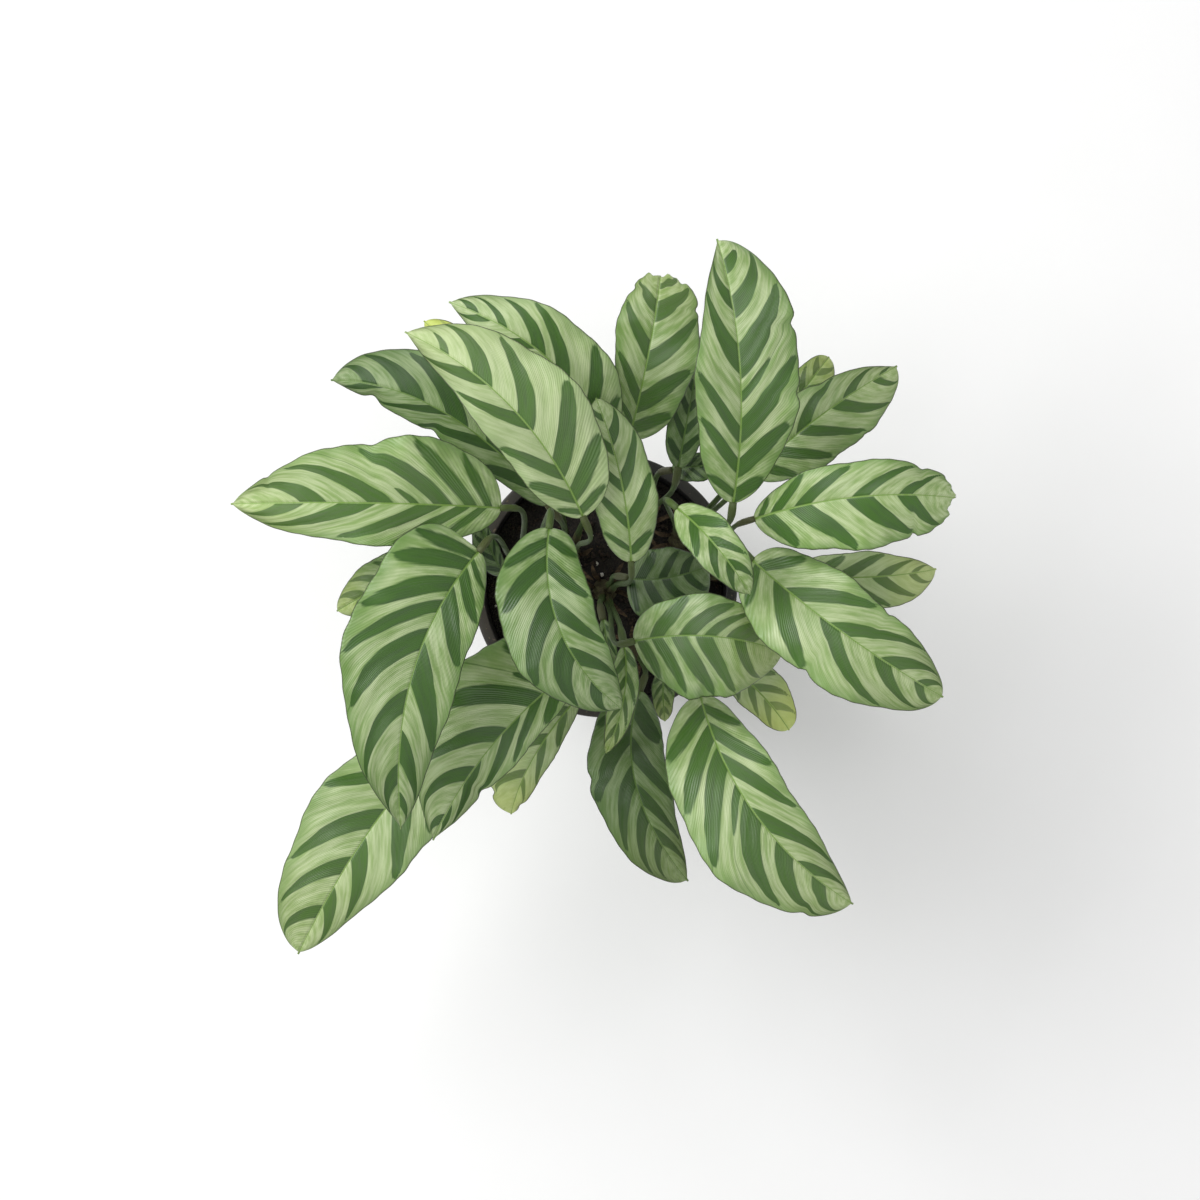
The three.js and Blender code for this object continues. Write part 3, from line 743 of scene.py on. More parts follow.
readings = {
    "Reach": reach,
    "Share": share,
    "From Midrib": times(fields_group, reach, width),
    "From Margin": times(fields_group, maths(fields_group, "SUBTRACT", 1.0, reach), width),
    "Passed": pick_side(fields_group, left_passed, right_passed, on_right),
    "Vein Place": vein_place,
    "Inside Band": pick_side(fields_group, left_inside, right_inside, on_right),
    "Yellow": yellow,
    "Shaded": shaded,
    "Pale": pale,
}
for label, value in readings.items():
    fill(fields_group, out[label], value)
print("group:", fields_group.name)

# %% [markdown]
# Between the bands the ground isn't even: it looks brushed along the side veins. Plain noise would give
# round spots. Here the noise is read at a place that changes fast across the veins and slowly along them,
# which draws its spots out into strokes.

# %% Group: brushed grain that follows the side veins
STROKE_STRETCH = 3.0
grain_group, entry, out = new_group(
    "Vein grain",
    [("Vein Place", "Float"), ("Reach", "Float"), ("Fineness", "Float")],
    [("Grain", "Float")],
)
across_veins = times(grain_group, entry["Vein Place"], entry["Fineness"])
object_z = split(grain_group, object_place(grain_group))[2]
along_veins = times(grain_group, entry["Reach"], STROKE_STRETCH)
grain_place = join(grain_group, across_veins, along_veins, object_z)
fill(grain_group, out["Grain"], mottle(grain_group, grain_place, 1.0, 4.0))


def brushed(tree, fields, fineness):
    """Grain along the veins. fields are the outputs of the group with the blade's own numbers."""
    inputs = {"Vein Place": fields["Vein Place"], "Reach": fields["Reach"], "Fineness": fineness}
    return use(tree, grain_group, inputs)[0]


print("group:", grain_group.name)

# %% [markdown]
# The next group gives the colour. Its inputs are eight colours and the strength of the bands, so that the
# top and the underside can share it. It is built up as a painter would do it: first where the bands are,
# then the ground, the bands over it, and last the yellowing, the midrib, the dark line of the margin and
# the painted shade of low leaves.
# A little of the grain is added to the distance inside a band, which makes the band's edge wander.

# %% Group: feather stripes, where the bands are
EDGE_SOFTNESS = 0.55
EDGE_WANDER = 1.7
BAND_GAP_AT_MIDRIB = (0.1, 0.7)
COARSE_STROKES = 0.35
FINE_STROKES = 1.6
CLOUDS = 28.0
HAIRLINE = 0.035
HAIRLINE_START = (0.35, 0.6)
stripe_group, entry, out = new_group(
    "Feather stripes",
    [
        ("Ground", "Color"), ("Ground Light", "Color"), ("Rim Green", "Color"), ("Band", "Color"),
        ("Band Deep", "Color"), ("Midrib", "Color"), ("Margin", "Color"), ("Yellowed", "Color"),
        ("Band Strength", "Float"),
    ],
    [("Color", "Color")],
)
t = stripe_group
read = use(t, fields_group, {})
coarse = brushed(t, read, COARSE_STROKES)
fine = brushed(t, read, FINE_STROKES)
cloud = mottle(t, object_place(t), CLOUDS)
wander = times(t, maths(t, "SUBTRACT", fine, 0.5), EDGE_WANDER)
band_edge = maths(t, "ADD", read["Inside Band"], wander)
band_mask = rise(t, band_edge, -EDGE_SOFTNESS, EDGE_SOFTNESS)
band_mask = times(t, band_mask, rise(t, read["From Midrib"], *BAND_GAP_AT_MIDRIB))
between_bands = maths(t, "FRACT", maths(t, "ADD", read["Passed"], 0.5))
from_vein = maths(t, "ABSOLUTE", maths(t, "SUBTRACT", between_bands, 0.5))
hairline = fall(t, from_vein, 0.3 * HAIRLINE, HAIRLINE)
hairline = times(t, hairline, rise(t, read["Reach"], *HAIRLINE_START))
print("a band's edge is", 2 * EDGE_SOFTNESS, "mm soft")

# %% Feather stripes: the pale ground
FINE_VEIN_GAP = 1.25
FINE_VEIN_TINT = 0.22
RIM_START = (0.82, 1.12)
RIM_TINT = 0.75
PALE_TINT = 0.5


def fine_veins(tree, fields):
    """A wave between -1 and 1 that crosses one fine side vein after another."""
    return maths(tree, "SINE", times(tree, fields["Vein Place"], 2 * math.pi / FINE_VEIN_GAP))


ripple = spread(t, maths(t, "MULTIPLY_ADD", fine_veins(t, read), 0.5, 0.5), 0.0, FINE_VEIN_TINT)
ground = paint(t, rise(t, coarse, 0.3, 0.7), entry["Ground"], entry["Ground Light"])
ground = paint(t, ripple, ground, entry["Rim Green"])
rim = rise(t, maths(t, "MULTIPLY_ADD", cloud, 0.2, read["Reach"]), *RIM_START)
ground = paint(t, times(t, rim, RIM_TINT), ground, entry["Rim Green"])
# Paler ground: young leaves are paler, and on a few low leaves it is painted light against the shade of
# the leaves above.
ground = paint(t, times(t, read["Pale"], PALE_TINT), ground, entry["Ground Light"])
print("fine side veins every", FINE_VEIN_GAP, "mm")

# %% Feather stripes: the dark bands
BAND_EDGE_DEPTH = (0.2, 1.6)
DEEP_AT_EDGE = 0.35
DEEP_IN_STROKES = 0.65
YELLOW_WEAKENS_BANDS = 0.5
HAIRLINE_TINT = 0.55
deep = fall(t, read["Inside Band"], *BAND_EDGE_DEPTH)
deep_strokes = times(t, rise(t, coarse, 0.35, 0.75), DEEP_IN_STROKES)
deep = maths(t, "MULTIPLY_ADD", deep, DEEP_AT_EDGE, deep_strokes)
band_colour = paint(t, deep, entry["Band"], entry["Band Deep"])
strength = times(t, band_mask, entry["Band Strength"])
strength = times(t, strength, maths(t, "MULTIPLY_ADD", read["Yellow"], -YELLOW_WEAKENS_BANDS, 1.0))
colour = paint(t, strength, ground, band_colour)
line_strength = times(t, times(t, hairline, HAIRLINE_TINT), entry["Band Strength"])
colour = paint(t, line_strength, colour, entry["Band"])
print("nodes in the stripe group so far:", len(t.nodes))

# %% Feather stripes: yellowing, midrib, margin and painted shade
YELLOW_TIP = (0.9, 1.45)
BANDS_HOLD_GREEN = 0.75
RIB_HALF_WIDTH = 0.75
RIB_THINNING = 0.5
RIB_TINT = 0.85
MARGIN_LINE = 0.6
MARGIN_LINE_END = (0.93, 0.98)
MARGIN_TINT = 0.85
IN_SHADE = (0.36, 0.42, 0.36, 1.0)
rib_width = maths(t, "MULTIPLY_ADD", read["Share"], -RIB_THINNING, RIB_HALF_WIDTH)
rib = fall(t, maths(t, "DIVIDE", read["From Midrib"], rib_width), 0.55, 1.0)
tipward = maths(t, "MULTIPLY_ADD", read["Yellow"], 0.6, read["Share"])
tipward = maths(t, "MULTIPLY_ADD", cloud, 0.6, tipward)
yellowing = times(t, rise(t, read["Yellow"], 0.0, 0.6), rise(t, tipward, *YELLOW_TIP))
yellowing = times(t, yellowing, maths(t, "MULTIPLY_ADD", strength, -BANDS_HOLD_GREEN, 1.0))
colour = paint(t, yellowing, colour, entry["Yellowed"])
colour = paint(t, times(t, rib, RIB_TINT), colour, entry["Midrib"])
margin_line = fall(t, read["From Margin"], 0.4 * MARGIN_LINE, MARGIN_LINE)
margin_line = times(t, margin_line, fall(t, read["Share"], *MARGIN_LINE_END))
colour = paint(t, times(t, margin_line, MARGIN_TINT), colour, entry["Margin"])
# Painted shade: leaves low in the plant are darkened in their colour, as if in the shade of the leaves
# above.
painted_shade = times(t, maths(t, "MULTIPLY_ADD", cloud, 0.3, 0.85), read["Shaded"])
colour = paint(t, painted_shade, colour, IN_SHADE, "MULTIPLY")
fill(t, out["Color"], colour)
print("group:", stripe_group.name)

# %% [markdown]
# The third group gives the height that the bump reads: a furrow along the midrib, one low ridge for each
# fine side vein and some grain. They are too fine for the mesh, which would need a hundred times the
# faces. The grain also comes out by itself, because the gloss varies with it.

# %% Group: relief of the veins
SATIN_STROKES = 2.4
FURROW_HALF_WIDTH = 1.4
STROKE_HEIGHT = 0.25
relief_group, entry, out = new_group(
    "Vein relief",
    [("Rib Depth", "Float"), ("Vein Depth", "Float")],
    [("Height", "Float"), ("Grain", "Float")],
)
t = relief_group
read = use(t, fields_group, {})
fine = brushed(t, read, SATIN_STROKES)
height = times(t, rise(t, read["From Midrib"], 0.0, FURROW_HALF_WIDTH), entry["Rib Depth"])
height = maths(t, "MULTIPLY_ADD", fine_veins(t, read), entry["Vein Depth"], height)
height = maths(t, "MULTIPLY_ADD", fine, STROKE_HEIGHT, height)
fill(t, out["Height"], height)
fill(t, out["Grain"], fine)
print("group:", relief_group.name)

# %% Materials: top and underside of a blade
TOP_COLOURS = {
    "Ground": shade(134, 163, 92), "Ground Light": shade(188, 203, 154),
    "Band": shade(56, 98, 20), "Band Deep": shade(32, 72, 14), "Band Strength": 0.95,
    "Rim Green": shade(104, 142, 66), "Midrib": shade(112, 148, 56),
    "Margin": shade(60, 66, 44), "Yellowed": shade(196, 210, 104),
}
UNDERSIDE_COLOURS = {
    "Ground": shade(150, 168, 128), "Ground Light": shade(168, 184, 146),
    "Band": shade(104, 130, 88), "Band Deep": shade(88, 116, 76), "Band Strength": 0.6,
    "Rim Green": shade(132, 154, 108), "Midrib": shade(176, 188, 130),
    "Margin": shade(96, 96, 74), "Yellowed": shade(178, 184, 96),
}
BLADE_RELIEF = 0.35 * MM


def blade_finish(name, colours, roughness_low, roughness_high):
    """Both sides of a blade use the same groups. They differ in colours and in gloss."""

    def colour(tree):
        return use(tree, stripe_group, colours)["Color"]

    def roughness(tree):
        grain = use(tree, relief_group, {"Rib Depth": 1.0, "Vein Depth": 0.3})["Grain"]
        return spread(tree, grain, roughness_low, roughness_high)

    def height(tree):
        return use(tree, relief_group, {"Rib Depth": 1.0, "Vein Depth": 0.16})["Height"]

    return finish(name, colour, roughness, height, BLADE_RELIEF)


blade_top = blade_finish("blade_top", TOP_COLOURS, 0.28, 0.46)
blade_underside = blade_finish("blade_underside", UNDERSIDE_COLOURS, 0.5, 0.7)
print("materials:", blade_top.name, blade_underside.name)

# %% [markdown]
# No two leaves of a plant have the same green. Young ones are paler and old ones turn yellow from the tip.
# Those below stand in the shade of the others, and that is painted into their colour as painted shade. A
# few low leaves are also made paler as painted light against that shade. A material for each leaf would do
# it, but here its mesh carries three numbers that say so, and all the leaves share one material.

# %% Grow the blades
# Leaf number: how yellow, how much painted shade, and how pale, which is young green and on a few low
# leaves painted light. Leaves that aren't named are a full-grown green.
AGES_AND_PAINTED_LIGHT = {
    1: (0.05, 0.12, 0.0), 2: (0.15, 0.15, 0.0), 3: (0.0, 0.0, 0.6), 4: (0.12, 0.0, 0.9),
    5: (0.0, 0.65, 0.0), 6: (0.15, 0.0, 0.1), 7: (0.0, 0.28, 0.0), 8: (0.0, 0.55, 0.0),
    9: (0.0, 0.2, 0.2), 10: (0.1, 0.05, 0.3), 11: (0.3, 0.0, 0.8), 12: (0.2, 0.85, 0.0),
    13: (0.1, 0.0, 0.2), 14: (0.2, 0.4, 0.0), 15: (0.4, 0.0, 1.0), 16: (0.1, 0.05, 0.1),
    17: (0.25, 0.0, 1.0), 19: (0.1, 0.12, 0.2), 20: (0.3, 0.3, 0.0), 21: (0.0, 0.1, 0.1),
    22: (0.0, 0.15, 0.4), 23: (0.0, 1.0, 0.0), 24: (0.2, 0.3, 0.0), 25: (0.0, 0.9, 0.0),
    26: (0.0, 1.0, 0.0), 27: (0.25, 0.4, 0.0), 28: (0.0, 1.0, 0.0), 29: (1.0, 0.0, 0.3),
    30: (0.3, 0.5, 0.0), 31: (0.1, 0.7, 0.0),
}
FULL_GROWN = (0.0, 0.0, 0.0)

blades = []
for number, leaf in enumerate(LEAVES, 1):
    piece = blade(number, leaf, AGES_AND_PAINTED_LIGHT.get(number, FULL_GROWN))
    blades.append(settle(piece, [f"leaf_{number:02d}"], "leaf_blade", blade_top, blade_underside))
print("faces of all blades:", sum(len(piece.data.polygons) for piece in blades))

# %% [markdown]
# ## The stalks
# Each leaf has its own stalk, which rises from its shoot's crown and arches out to the blade. Its foot is
# wrapped in a sheath that opens upwards, and just under the blade is the knee, a slightly thicker
# stretch that turns the leaf to the light. A bevelled curve would be quick, but its thickness can't
# change so freely, so each stalk is a tube of rings whose radius is worked out along its length.

# %% Values of the stalks and crowns
SOIL_TOP = 104
SHOOTS = {
    "north_west": (-19, 16), "north": (20, 34), "north_east": (40, 24), "east": (50, 5),
    "south_east": (18, -34), "south_west": (-12, -25), "west": (-42, 7), "middle": (0, -3),
}
STALK_RADIUS = 1.5
STALK_SPREAD = 3.2
STALK_ARCH = 0.36
STALK_TAPER = 0.14
STALK_FLATNESS = 0.1
SHEATH_RADIUS = 2.5
SHEATH_CLOSED = 0.16
SHEATH_SHARE = 0.34
SHEATH_LOSS = 0.5
SHEATH_WING = 0.16
KNEE_RADIUS = 1.9
KNEE_LENGTH = 11
KNEE_SWELLING = (-3, 2)
KNEE_END = 3
KNEE_SLIMMING = 0.35
KNEE_GAP = 0.5
RINGS = 44
SIDES = 14
SPLINE_STEPS = 40
GOLDEN_SHARE = 0.618


def through(points, count):
    """A smooth line through four points, with its places evenly spaced (a centripetal spline)."""
    line = np.array(points, float)
    line = np.vstack([2 * line[0] - line[1], line, 2 * line[-1] - line[-2]])
    t = np.linspace(0, 1, SPLINE_STEPS)[:, None]
    parts = []
    for p0, p1, p2, p3 in zip(line, line[1:], line[2:], line[3:]):
        d0, d1, d2 = (np.sqrt(np.linalg.norm(b - a)) for a, b in ((p0, p1), (p1, p2), (p2, p3)))
        m1 = d1 * ((p1 - p0) / d0 - (p2 - p0) / (d0 + d1) + (p2 - p1) / d1)
        m2 = d1 * ((p2 - p1) / d1 - (p3 - p1) / (d1 + d2) + (p3 - p2) / d2)
        bend = (-3 * p1 + 3 * p2 - 2 * m1 - m2) * t**2 + (2 * p1 - 2 * p2 + m1 + m2) * t**3
        parts.append(p1 + m1 * t + bend)
    dense = np.vstack(parts)
    gone = np.concatenate([[0], np.cumsum(np.linalg.norm(np.diff(dense, axis=0), axis=1))])
    even = np.linspace(0, gone[-1], count)
    return np.stack([np.interp(even, gone, dense[:, k]) for k in range(3)], axis=1), even


def step(value, low, high):
    """0 below low, 1 above high, and a smooth step between them, as rise gives it in a material."""
    x = np.clip((value - low) / (high - low), 0, 1)
    return x * x * (3 - 2 * x)


def tube(line, radii, sides):
    """Rings of points round a line. radii has one row for each ring."""
    runs = np.gradient(line, axis=0)
    runs /= np.linalg.norm(runs, axis=1, keepdims=True)
    out = np.cross(runs[0], (0.0, 0.0, 1.0) if abs(runs[0][2]) < 0.9 else (1.0, 0.0, 0.0))
    turns = np.arange(sides) * 2 * np.pi / sides
    rings = []
    for place, run, radius in zip(line, runs, radii):
        out = out - run * np.dot(out, run)
        out /= np.linalg.norm(out)
        other = np.cross(run, out)
        ring = np.outer(np.cos(turns), out) + np.outer(np.sin(turns), other)
        rings.append(place + ring * np.reshape(radius, (-1, 1)))
    return np.array(rings)


def tube_faces(rings, sides, first):
    """Side faces and the two end caps of a tube."""
    faces = []
    for ring in range(rings - 1):
        for side in range(sides):
            a = first + ring * sides + side
            b = first + ring * sides + (side + 1) % sides
            faces.append((a, b, b + sides, a + sides))
    faces.append(tuple(first + side for side in range(sides - 1, -1, -1)))
    faces.append(tuple(first + (rings - 1) * sides + side for side in range(sides)))
    return faces


print("shoots:", len(SHOOTS))

# %% [markdown]
# The crown is the knuckle of old stalk bases that all the stalks of a shoot rise from. It stands a little
# proud of the soil, and dry scraps of old sheath lie round it. It belongs to the same plant as the
# stalks, so one mesh holds a shoot's stalks, its crown and its scraps.

# %% Build a shoot
CROWN_RADIUS = 7
CROWN_PROUD = 5
CROWN_SUNK = 3
CROWN_RINGS = 12
CROWN_SIDES = 28
CROWN_LUMPS = 0.16
CROWN_LUMP_DENSITY = 2.6
CROWN_FLUTES = 0.03
CROWN_FLUTE_COUNT = 9
CROWN_SLACK = 0.94
WIDEST_LUMP = 1.06
SCRAPS = 7
SCRAP_ROWS = 12
SCRAP_LENGTH = (9, 17)
SCRAP_HALF_WIDTH = 1.3
SCRAP_THICKNESS = 0.3
SCRAP_SWAY = 1.2
SCRAP_IN_CROWN = 1.5
ACROSS_A_SCRAP = (-1, -0.5, 0, 0.5, 1)
ROW_OF_A_SCRAP = 2 * len(ACROSS_A_SCRAP)


def stalk_line(leaf, crown):
    """The stalk's middle line from its crown up to the blade, and how far each place is along it."""
    base, ahead = midrib(leaf, 0.0)
    end = base - ahead * KNEE_GAP
    knee_start = end - ahead * KNEE_LENGTH
    towards = np.array([*(knee_start[:2] - crown), 0.0])
    foot = np.array([*crown, SOIL_TOP]) + STALK_SPREAD * towards / np.linalg.norm(towards)
    middle = foot + (knee_start - foot) * STALK_ARCH
    middle[2] = (foot[2] + knee_start[2]) / 2
    return through([foot, middle, knee_start, base + ahead * 2 * KNEE_GAP], RINGS)


def all_round(values):
    """Gives the value of each ring to all its points."""
    return np.repeat(values[:, None], SIDES, axis=1)


def stalk(leaf, crown, number):
    """One stalk with its sheath and knee, and the values that its finish reads."""
    line, gone = stalk_line(leaf, np.array(crown, float))
    length = gone[-1]
    share = gone / length
    turns = np.arange(SIDES) * 2 * np.pi / SIDES
    sheath = 1 - step(share, SHEATH_CLOSED, SHEATH_SHARE)
    knee_start = length - KNEE_LENGTH
    knee = step(gone, knee_start + KNEE_SWELLING[0], knee_start + KNEE_SWELLING[1])
    slimming = 1 - KNEE_SLIMMING * step(gone, length - KNEE_END, length)
    taper = 1 - STALK_TAPER * share
    radius = STALK_RADIUS * taper + (SHEATH_RADIUS - STALK_RADIUS) * sheath * (1 - SHEATH_LOSS * share)
    radius = radius + (KNEE_RADIUS - STALK_RADIUS * taper) * knee * slimming
    wing = 1 + SHEATH_WING * sheath[:, None] * np.cos(turns + number)
    wing = wing - STALK_FLATNESS * np.cos(2 * turns + number)
    points = tube(line, radius[:, None] * wing, SIDES)
    spin = np.tile(turns / (2 * np.pi), (RINGS, 1))
    tone = np.full_like(spin, (number * GOLDEN_SHARE) % 1)
    grain = np.stack([all_round(gone), np.cos(2 * np.pi * spin), np.sin(2 * np.pi * spin)], axis=-1)
    parts = np.stack([all_round(sheath), all_round(knee), tone], axis=-1)
    return points.reshape(-1, 3), grain.reshape(-1, 3), parts.reshape(-1, 3)


def crown_dome(crown, seed):
    """A lumpy dome whose lower rim is in the soil."""
    points = []
    for ring in range(CROWN_RINGS):
        tilt = math.pi / 2 * ring / (CROWN_RINGS - 1)
        for side in range(CROWN_SIDES):
            turn = 2 * math.pi * side / CROWN_SIDES
            out = math.sin(tilt)
            ray = Vector((out * math.cos(turn), out * math.sin(turn), math.cos(tilt)))
            lump = 1 + CROWN_LUMPS * noise.noise(ray * CROWN_LUMP_DENSITY + Vector((seed, 0, 0)))
            lump = lump - CROWN_FLUTES * math.cos(CROWN_FLUTE_COUNT * turn)
            flat = CROWN_RADIUS * CROWN_SLACK * min(lump, WIDEST_LUMP)
            high = (CROWN_PROUD + CROWN_SUNK) * min(lump, 1.0)
            x = crown[0] + ray.x * flat
            y = crown[1] + ray.y * flat
            points.append((x, y, SOIL_TOP - CROWN_SUNK + ray.z * high))
    return np.array(points)


def scrap(crown, turn, length, rng):
    """A dry, curled, pointed strip that leans outwards from the crown."""
    share = np.linspace(0, 1, SCRAP_ROWS)
    out = np.array([math.cos(turn), math.sin(turn), 0.0])
    side = np.array([-out[1], out[0], 0.0])
    start = np.array([*crown, SOIL_TOP]) + out * (CROWN_RADIUS - SCRAP_IN_CROWN)
    high = length * (0.55 * np.sin(share * 2.2) + 0.1)
    line = start + np.outer(share * length * 0.8, out) + np.outer(high, (0, 0, 1.0))
    line += np.outer(np.sin(share * 3 + rng.uniform(0, 6)) * SCRAP_SWAY, side)
    width = SCRAP_HALF_WIDTH * np.sin(np.pi * np.clip(share * 0.86 + 0.14, 0, 0.995)) ** 0.7
    curl = 0.5 * width
    rows = []
    for lift in (0.0, SCRAP_THICKNESS):
        for across in ACROSS_A_SCRAP:
            offset = np.outer(width * across, side) + np.outer(curl * across**2 + lift, (0, 0, 1.0))
            rows.append(line + offset)
    return np.array(rows).transpose(1, 0, 2)


def scrap_faces(rows, first):
    """A strip has ten points in each row: five below and five above."""
    loop = [0, 1, 2, 3, 4, 9, 8, 7, 6, 5]
    faces = []
    for row in range(rows - 1):
        for a, b in zip(loop, loop[1:] + loop[:1]):
            low = first + row * ROW_OF_A_SCRAP
            high = low + ROW_OF_A_SCRAP
            faces.append((low + a, low + b, high + b, high + a))
    faces.append(tuple(first + k for k in loop[::-1]))
    faces.append(tuple(first + (rows - 1) * ROW_OF_A_SCRAP + k for k in loop))
    return faces


def shoot_piece(name, crown, rng):
    """All stalks of a shoot, its crown and its scraps, in one mesh."""
    points, grain, parts, faces = [], [], [], []

    def keep(new_points, new_grain, new_parts, new_faces):
        faces.extend(new_faces)
        points.append(new_points)
        grain.append(np.broadcast_to(new_grain, new_points.shape))
        parts.append(np.broadcast_to(new_parts, new_points.shape))

    def used():
        return sum(len(group) for group in points)

    for number, leaf in enumerate(LEAVES, 1):
        if leaf.shoot == name:
            keep(*stalk(leaf, crown, number), tube_faces(RINGS, SIDES, used()))
    dome = crown_dome(crown, len(name) + crown[0] * 0.1)
    keep(dome, dome - dome.mean(axis=0), (1.0, 0.0, 0.5), tube_faces(CROWN_RINGS, CROWN_SIDES, used()))
    for k in range(SCRAPS):
        turn = 2 * math.pi * (k + rng.uniform(-0.3, 0.3)) / SCRAPS
        strip = scrap(crown, turn, rng.uniform(*SCRAP_LENGTH), rng)
        strip_faces = scrap_faces(len(strip), used())
        flat = strip.reshape(-1, 3)
        keep(flat, (flat - flat[0]) * (1.0, 0.2, 0.2), (2.0, 0.0, rng.uniform()), strip_faces)
    piece = mesh_piece(f"{name}_stalks", np.concatenate(points), faces)
    carry(piece, "stalk_grain", np.concatenate(grain))
    carry(piece, "stalk_parts", np.concatenate(parts))
    return piece


print("shoot function ready")

# %% [markdown]
# A stalk is olive green with fine lengthwise lines, paler and pinkish at the knee and brown and papery
# where the sheath is old. The lines are noise that is stretched along the stalk, which the mesh makes
# easy: it carries the place along the stalk and round it.

# %% Group: lengthwise fibres
fibre_group, entry, out = new_group(
    "Lengthwise fibres",
    [("Place", "Vector"), ("Length Scale", "Float"), ("Round Scale", "Float")],
    [("Fibre", "Float")],
)
t = fibre_group
x, y, z = split(t, entry["Place"])[0:3]
stretched = join(
    t,
    times(t, x, entry["Length Scale"]),
    times(t, y, entry["Round Scale"]),
    times(t, z, entry["Round Scale"]),
)
fill(t, out["Fibre"], mottle(t, stretched, 1.0, 4.0))
print("group:", fibre_group.name)

# %% Material: stalks, crowns and dry scraps
STALK_RELIEF = 0.4 * MM
GREEN_COLOURS = (shade(44, 62, 24), shade(70, 92, 38))
KNEE_COLOURS = (shade(70, 64, 36), shade(76, 98, 40))
SHEATH_COLOURS = (shade(54, 48, 30), shade(82, 78, 46))
DRY_COLOURS = (shade(50, 38, 26), shade(92, 74, 52))


def stalk_colour(tree):
    grain = field(tree, "stalk_grain")
    sheath, knee, seed = split(tree, field(tree, "stalk_parts"))[0:3]
    fibres = {"Place": grain, "Length Scale": 0.12, "Round Scale": 3.2}
    fibre = rise(tree, use(tree, fibre_group, fibres)[0], 0.3, 0.7)
    green = paint(tree, fibre, *GREEN_COLOURS)
    knee_colour = paint(tree, seed, *KNEE_COLOURS)
    sheath_colour = paint(tree, fibre, *SHEATH_COLOURS)
    dry = paint(tree, fibre, *DRY_COLOURS)
    colour = paint(tree, rise(tree, sheath, 0.25, 1.0), green, sheath_colour)
    colour = paint(tree, times(tree, knee, 0.8), colour, knee_colour)
    return paint(tree, rise(tree, sheath, 1.2, 1.8), colour, dry)


def stalk_roughness(tree):
    sheath = split(tree, field(tree, "stalk_parts"))[0]
    return spread(tree, rise(tree, sheath, 0.0, 2.0), 0.55, 0.88)


def stalk_height(tree):
    fibres = {"Place": field(tree, "stalk_grain"), "Length Scale": 0.1, "Round Scale": 5.0}
    return use(tree, fibre_group, fibres)[0]


stalk_material = finish("stalk", stalk_colour, stalk_roughness, stalk_height, STALK_RELIEF)
draws = np.random.default_rng(31)
shoots = []
for name, crown in SHOOTS.items():
    piece = shoot_piece(name, crown, draws)
    shoots.append(settle(piece, [f"stalks_{name}"], "leaf_stalk", stalk_material))
print("faces of all stalks:", sum(len(piece.data.polygons) for piece in shoots))

# %% [markdown]
# ## The soil
# Houseplant soil is dark peat with bark fibre and white perlite grains. A flat disc with a bump would
# look painted from the side, so the top is a fine grid that is really uneven, and crumbs and grains of
# several sizes lie half sunk in it. All of it is one mesh, as the filling of a pot is one mass.

# %% Build the soil
POT_HEIGHT = 118
POT_BASE_RADIUS = 50
POT_WAIST_RADIUS = 62
POT_COLLAR_RADIUS = 65
POT_RIM_RADIUS = 70
POT_WALL = 2
POT_FLOOR = 3
COLLAR_HEIGHT = 20
COLLAR_FLARE = 1
COLLAR_STEP = 2
RIM_HEIGHT = 4
COLLAR_BOTTOM = POT_HEIGHT - COLLAR_HEIGHT
SOIL_EDGE_DROP = 4
SOIL_FLAT_SHARE = 0.7
SOIL_CLEARANCE = 0.4
SOIL_RADIUS = POT_COLLAR_RADIUS - POT_WALL - SOIL_CLEARANCE
SOIL_RINGS = 56
SOIL_SIDES = 160
SOIL_UNEVEN = 1.5
SOIL_SETTLED = 0.75
SOIL_SWING = 0.65
# Height, layer and density of each noise that makes the soil uneven, from clods down to crumbs
SOIL_NOISE = ((1, 0, 0.11), (0.55, 9, 0.37), (0.3, 20, 0.9))
CRUMBS = 420
PERLITE = 34
CRUMB_SIZE = (0.7, 2.2)
PERLITE_SIZE = (0.6, 1.7)


def soil_level(x, y):
    """The height of the soil's top at a place."""
    share = math.hypot(x, y) / SOIL_RADIUS
    drop = SOIL_EDGE_DROP * max(0.0, (share - SOIL_FLAT_SHARE) / (1 - SOIL_FLAT_SHARE))
    rough = sum(high * noise.noise(Vector((x, y, layer)) * density) for high, layer, density in SOIL_NOISE)
    return SOIL_TOP - drop - SOIL_UNEVEN * (SOIL_SETTLED - SOIL_SWING * rough)


def soil_profile():
    """Radius and height of the filling's lower rings, from the bottom's middle to the top edge."""
    inset = POT_WALL + SOIL_CLEARANCE
    floor = POT_FLOOR + SOIL_CLEARANCE
    return [
        (0.6, floor), ((POT_BASE_RADIUS - inset) * 0.5, floor), (POT_BASE_RADIUS - inset, floor),
        (POT_WAIST_RADIUS - inset, COLLAR_BOTTOM - 2 * COLLAR_STEP), (SOIL_RADIUS, COLLAR_BOTTOM),
    ]


def round_points(radius, height, sides):
    """A ring of points round the pot's axis."""
    return [
        (radius * math.cos(2 * math.pi * k / sides), radius * math.sin(2 * math.pi * k / sides), height)
        for k in range(sides)
    ]


def soil_points():
    """Rings of points up the side of the filling and over its uneven top to the middle."""
    points = []
    for radius, height in soil_profile():
        points += round_points(radius, height, SOIL_SIDES)
    for ring in range(SOIL_RINGS):
        radius = SOIL_RADIUS * (1 - ring / SOIL_RINGS)
        points += [(x, y, soil_level(x, y)) for x, y, _ in round_points(radius, 0, SOIL_SIDES)]
    return np.array(points)


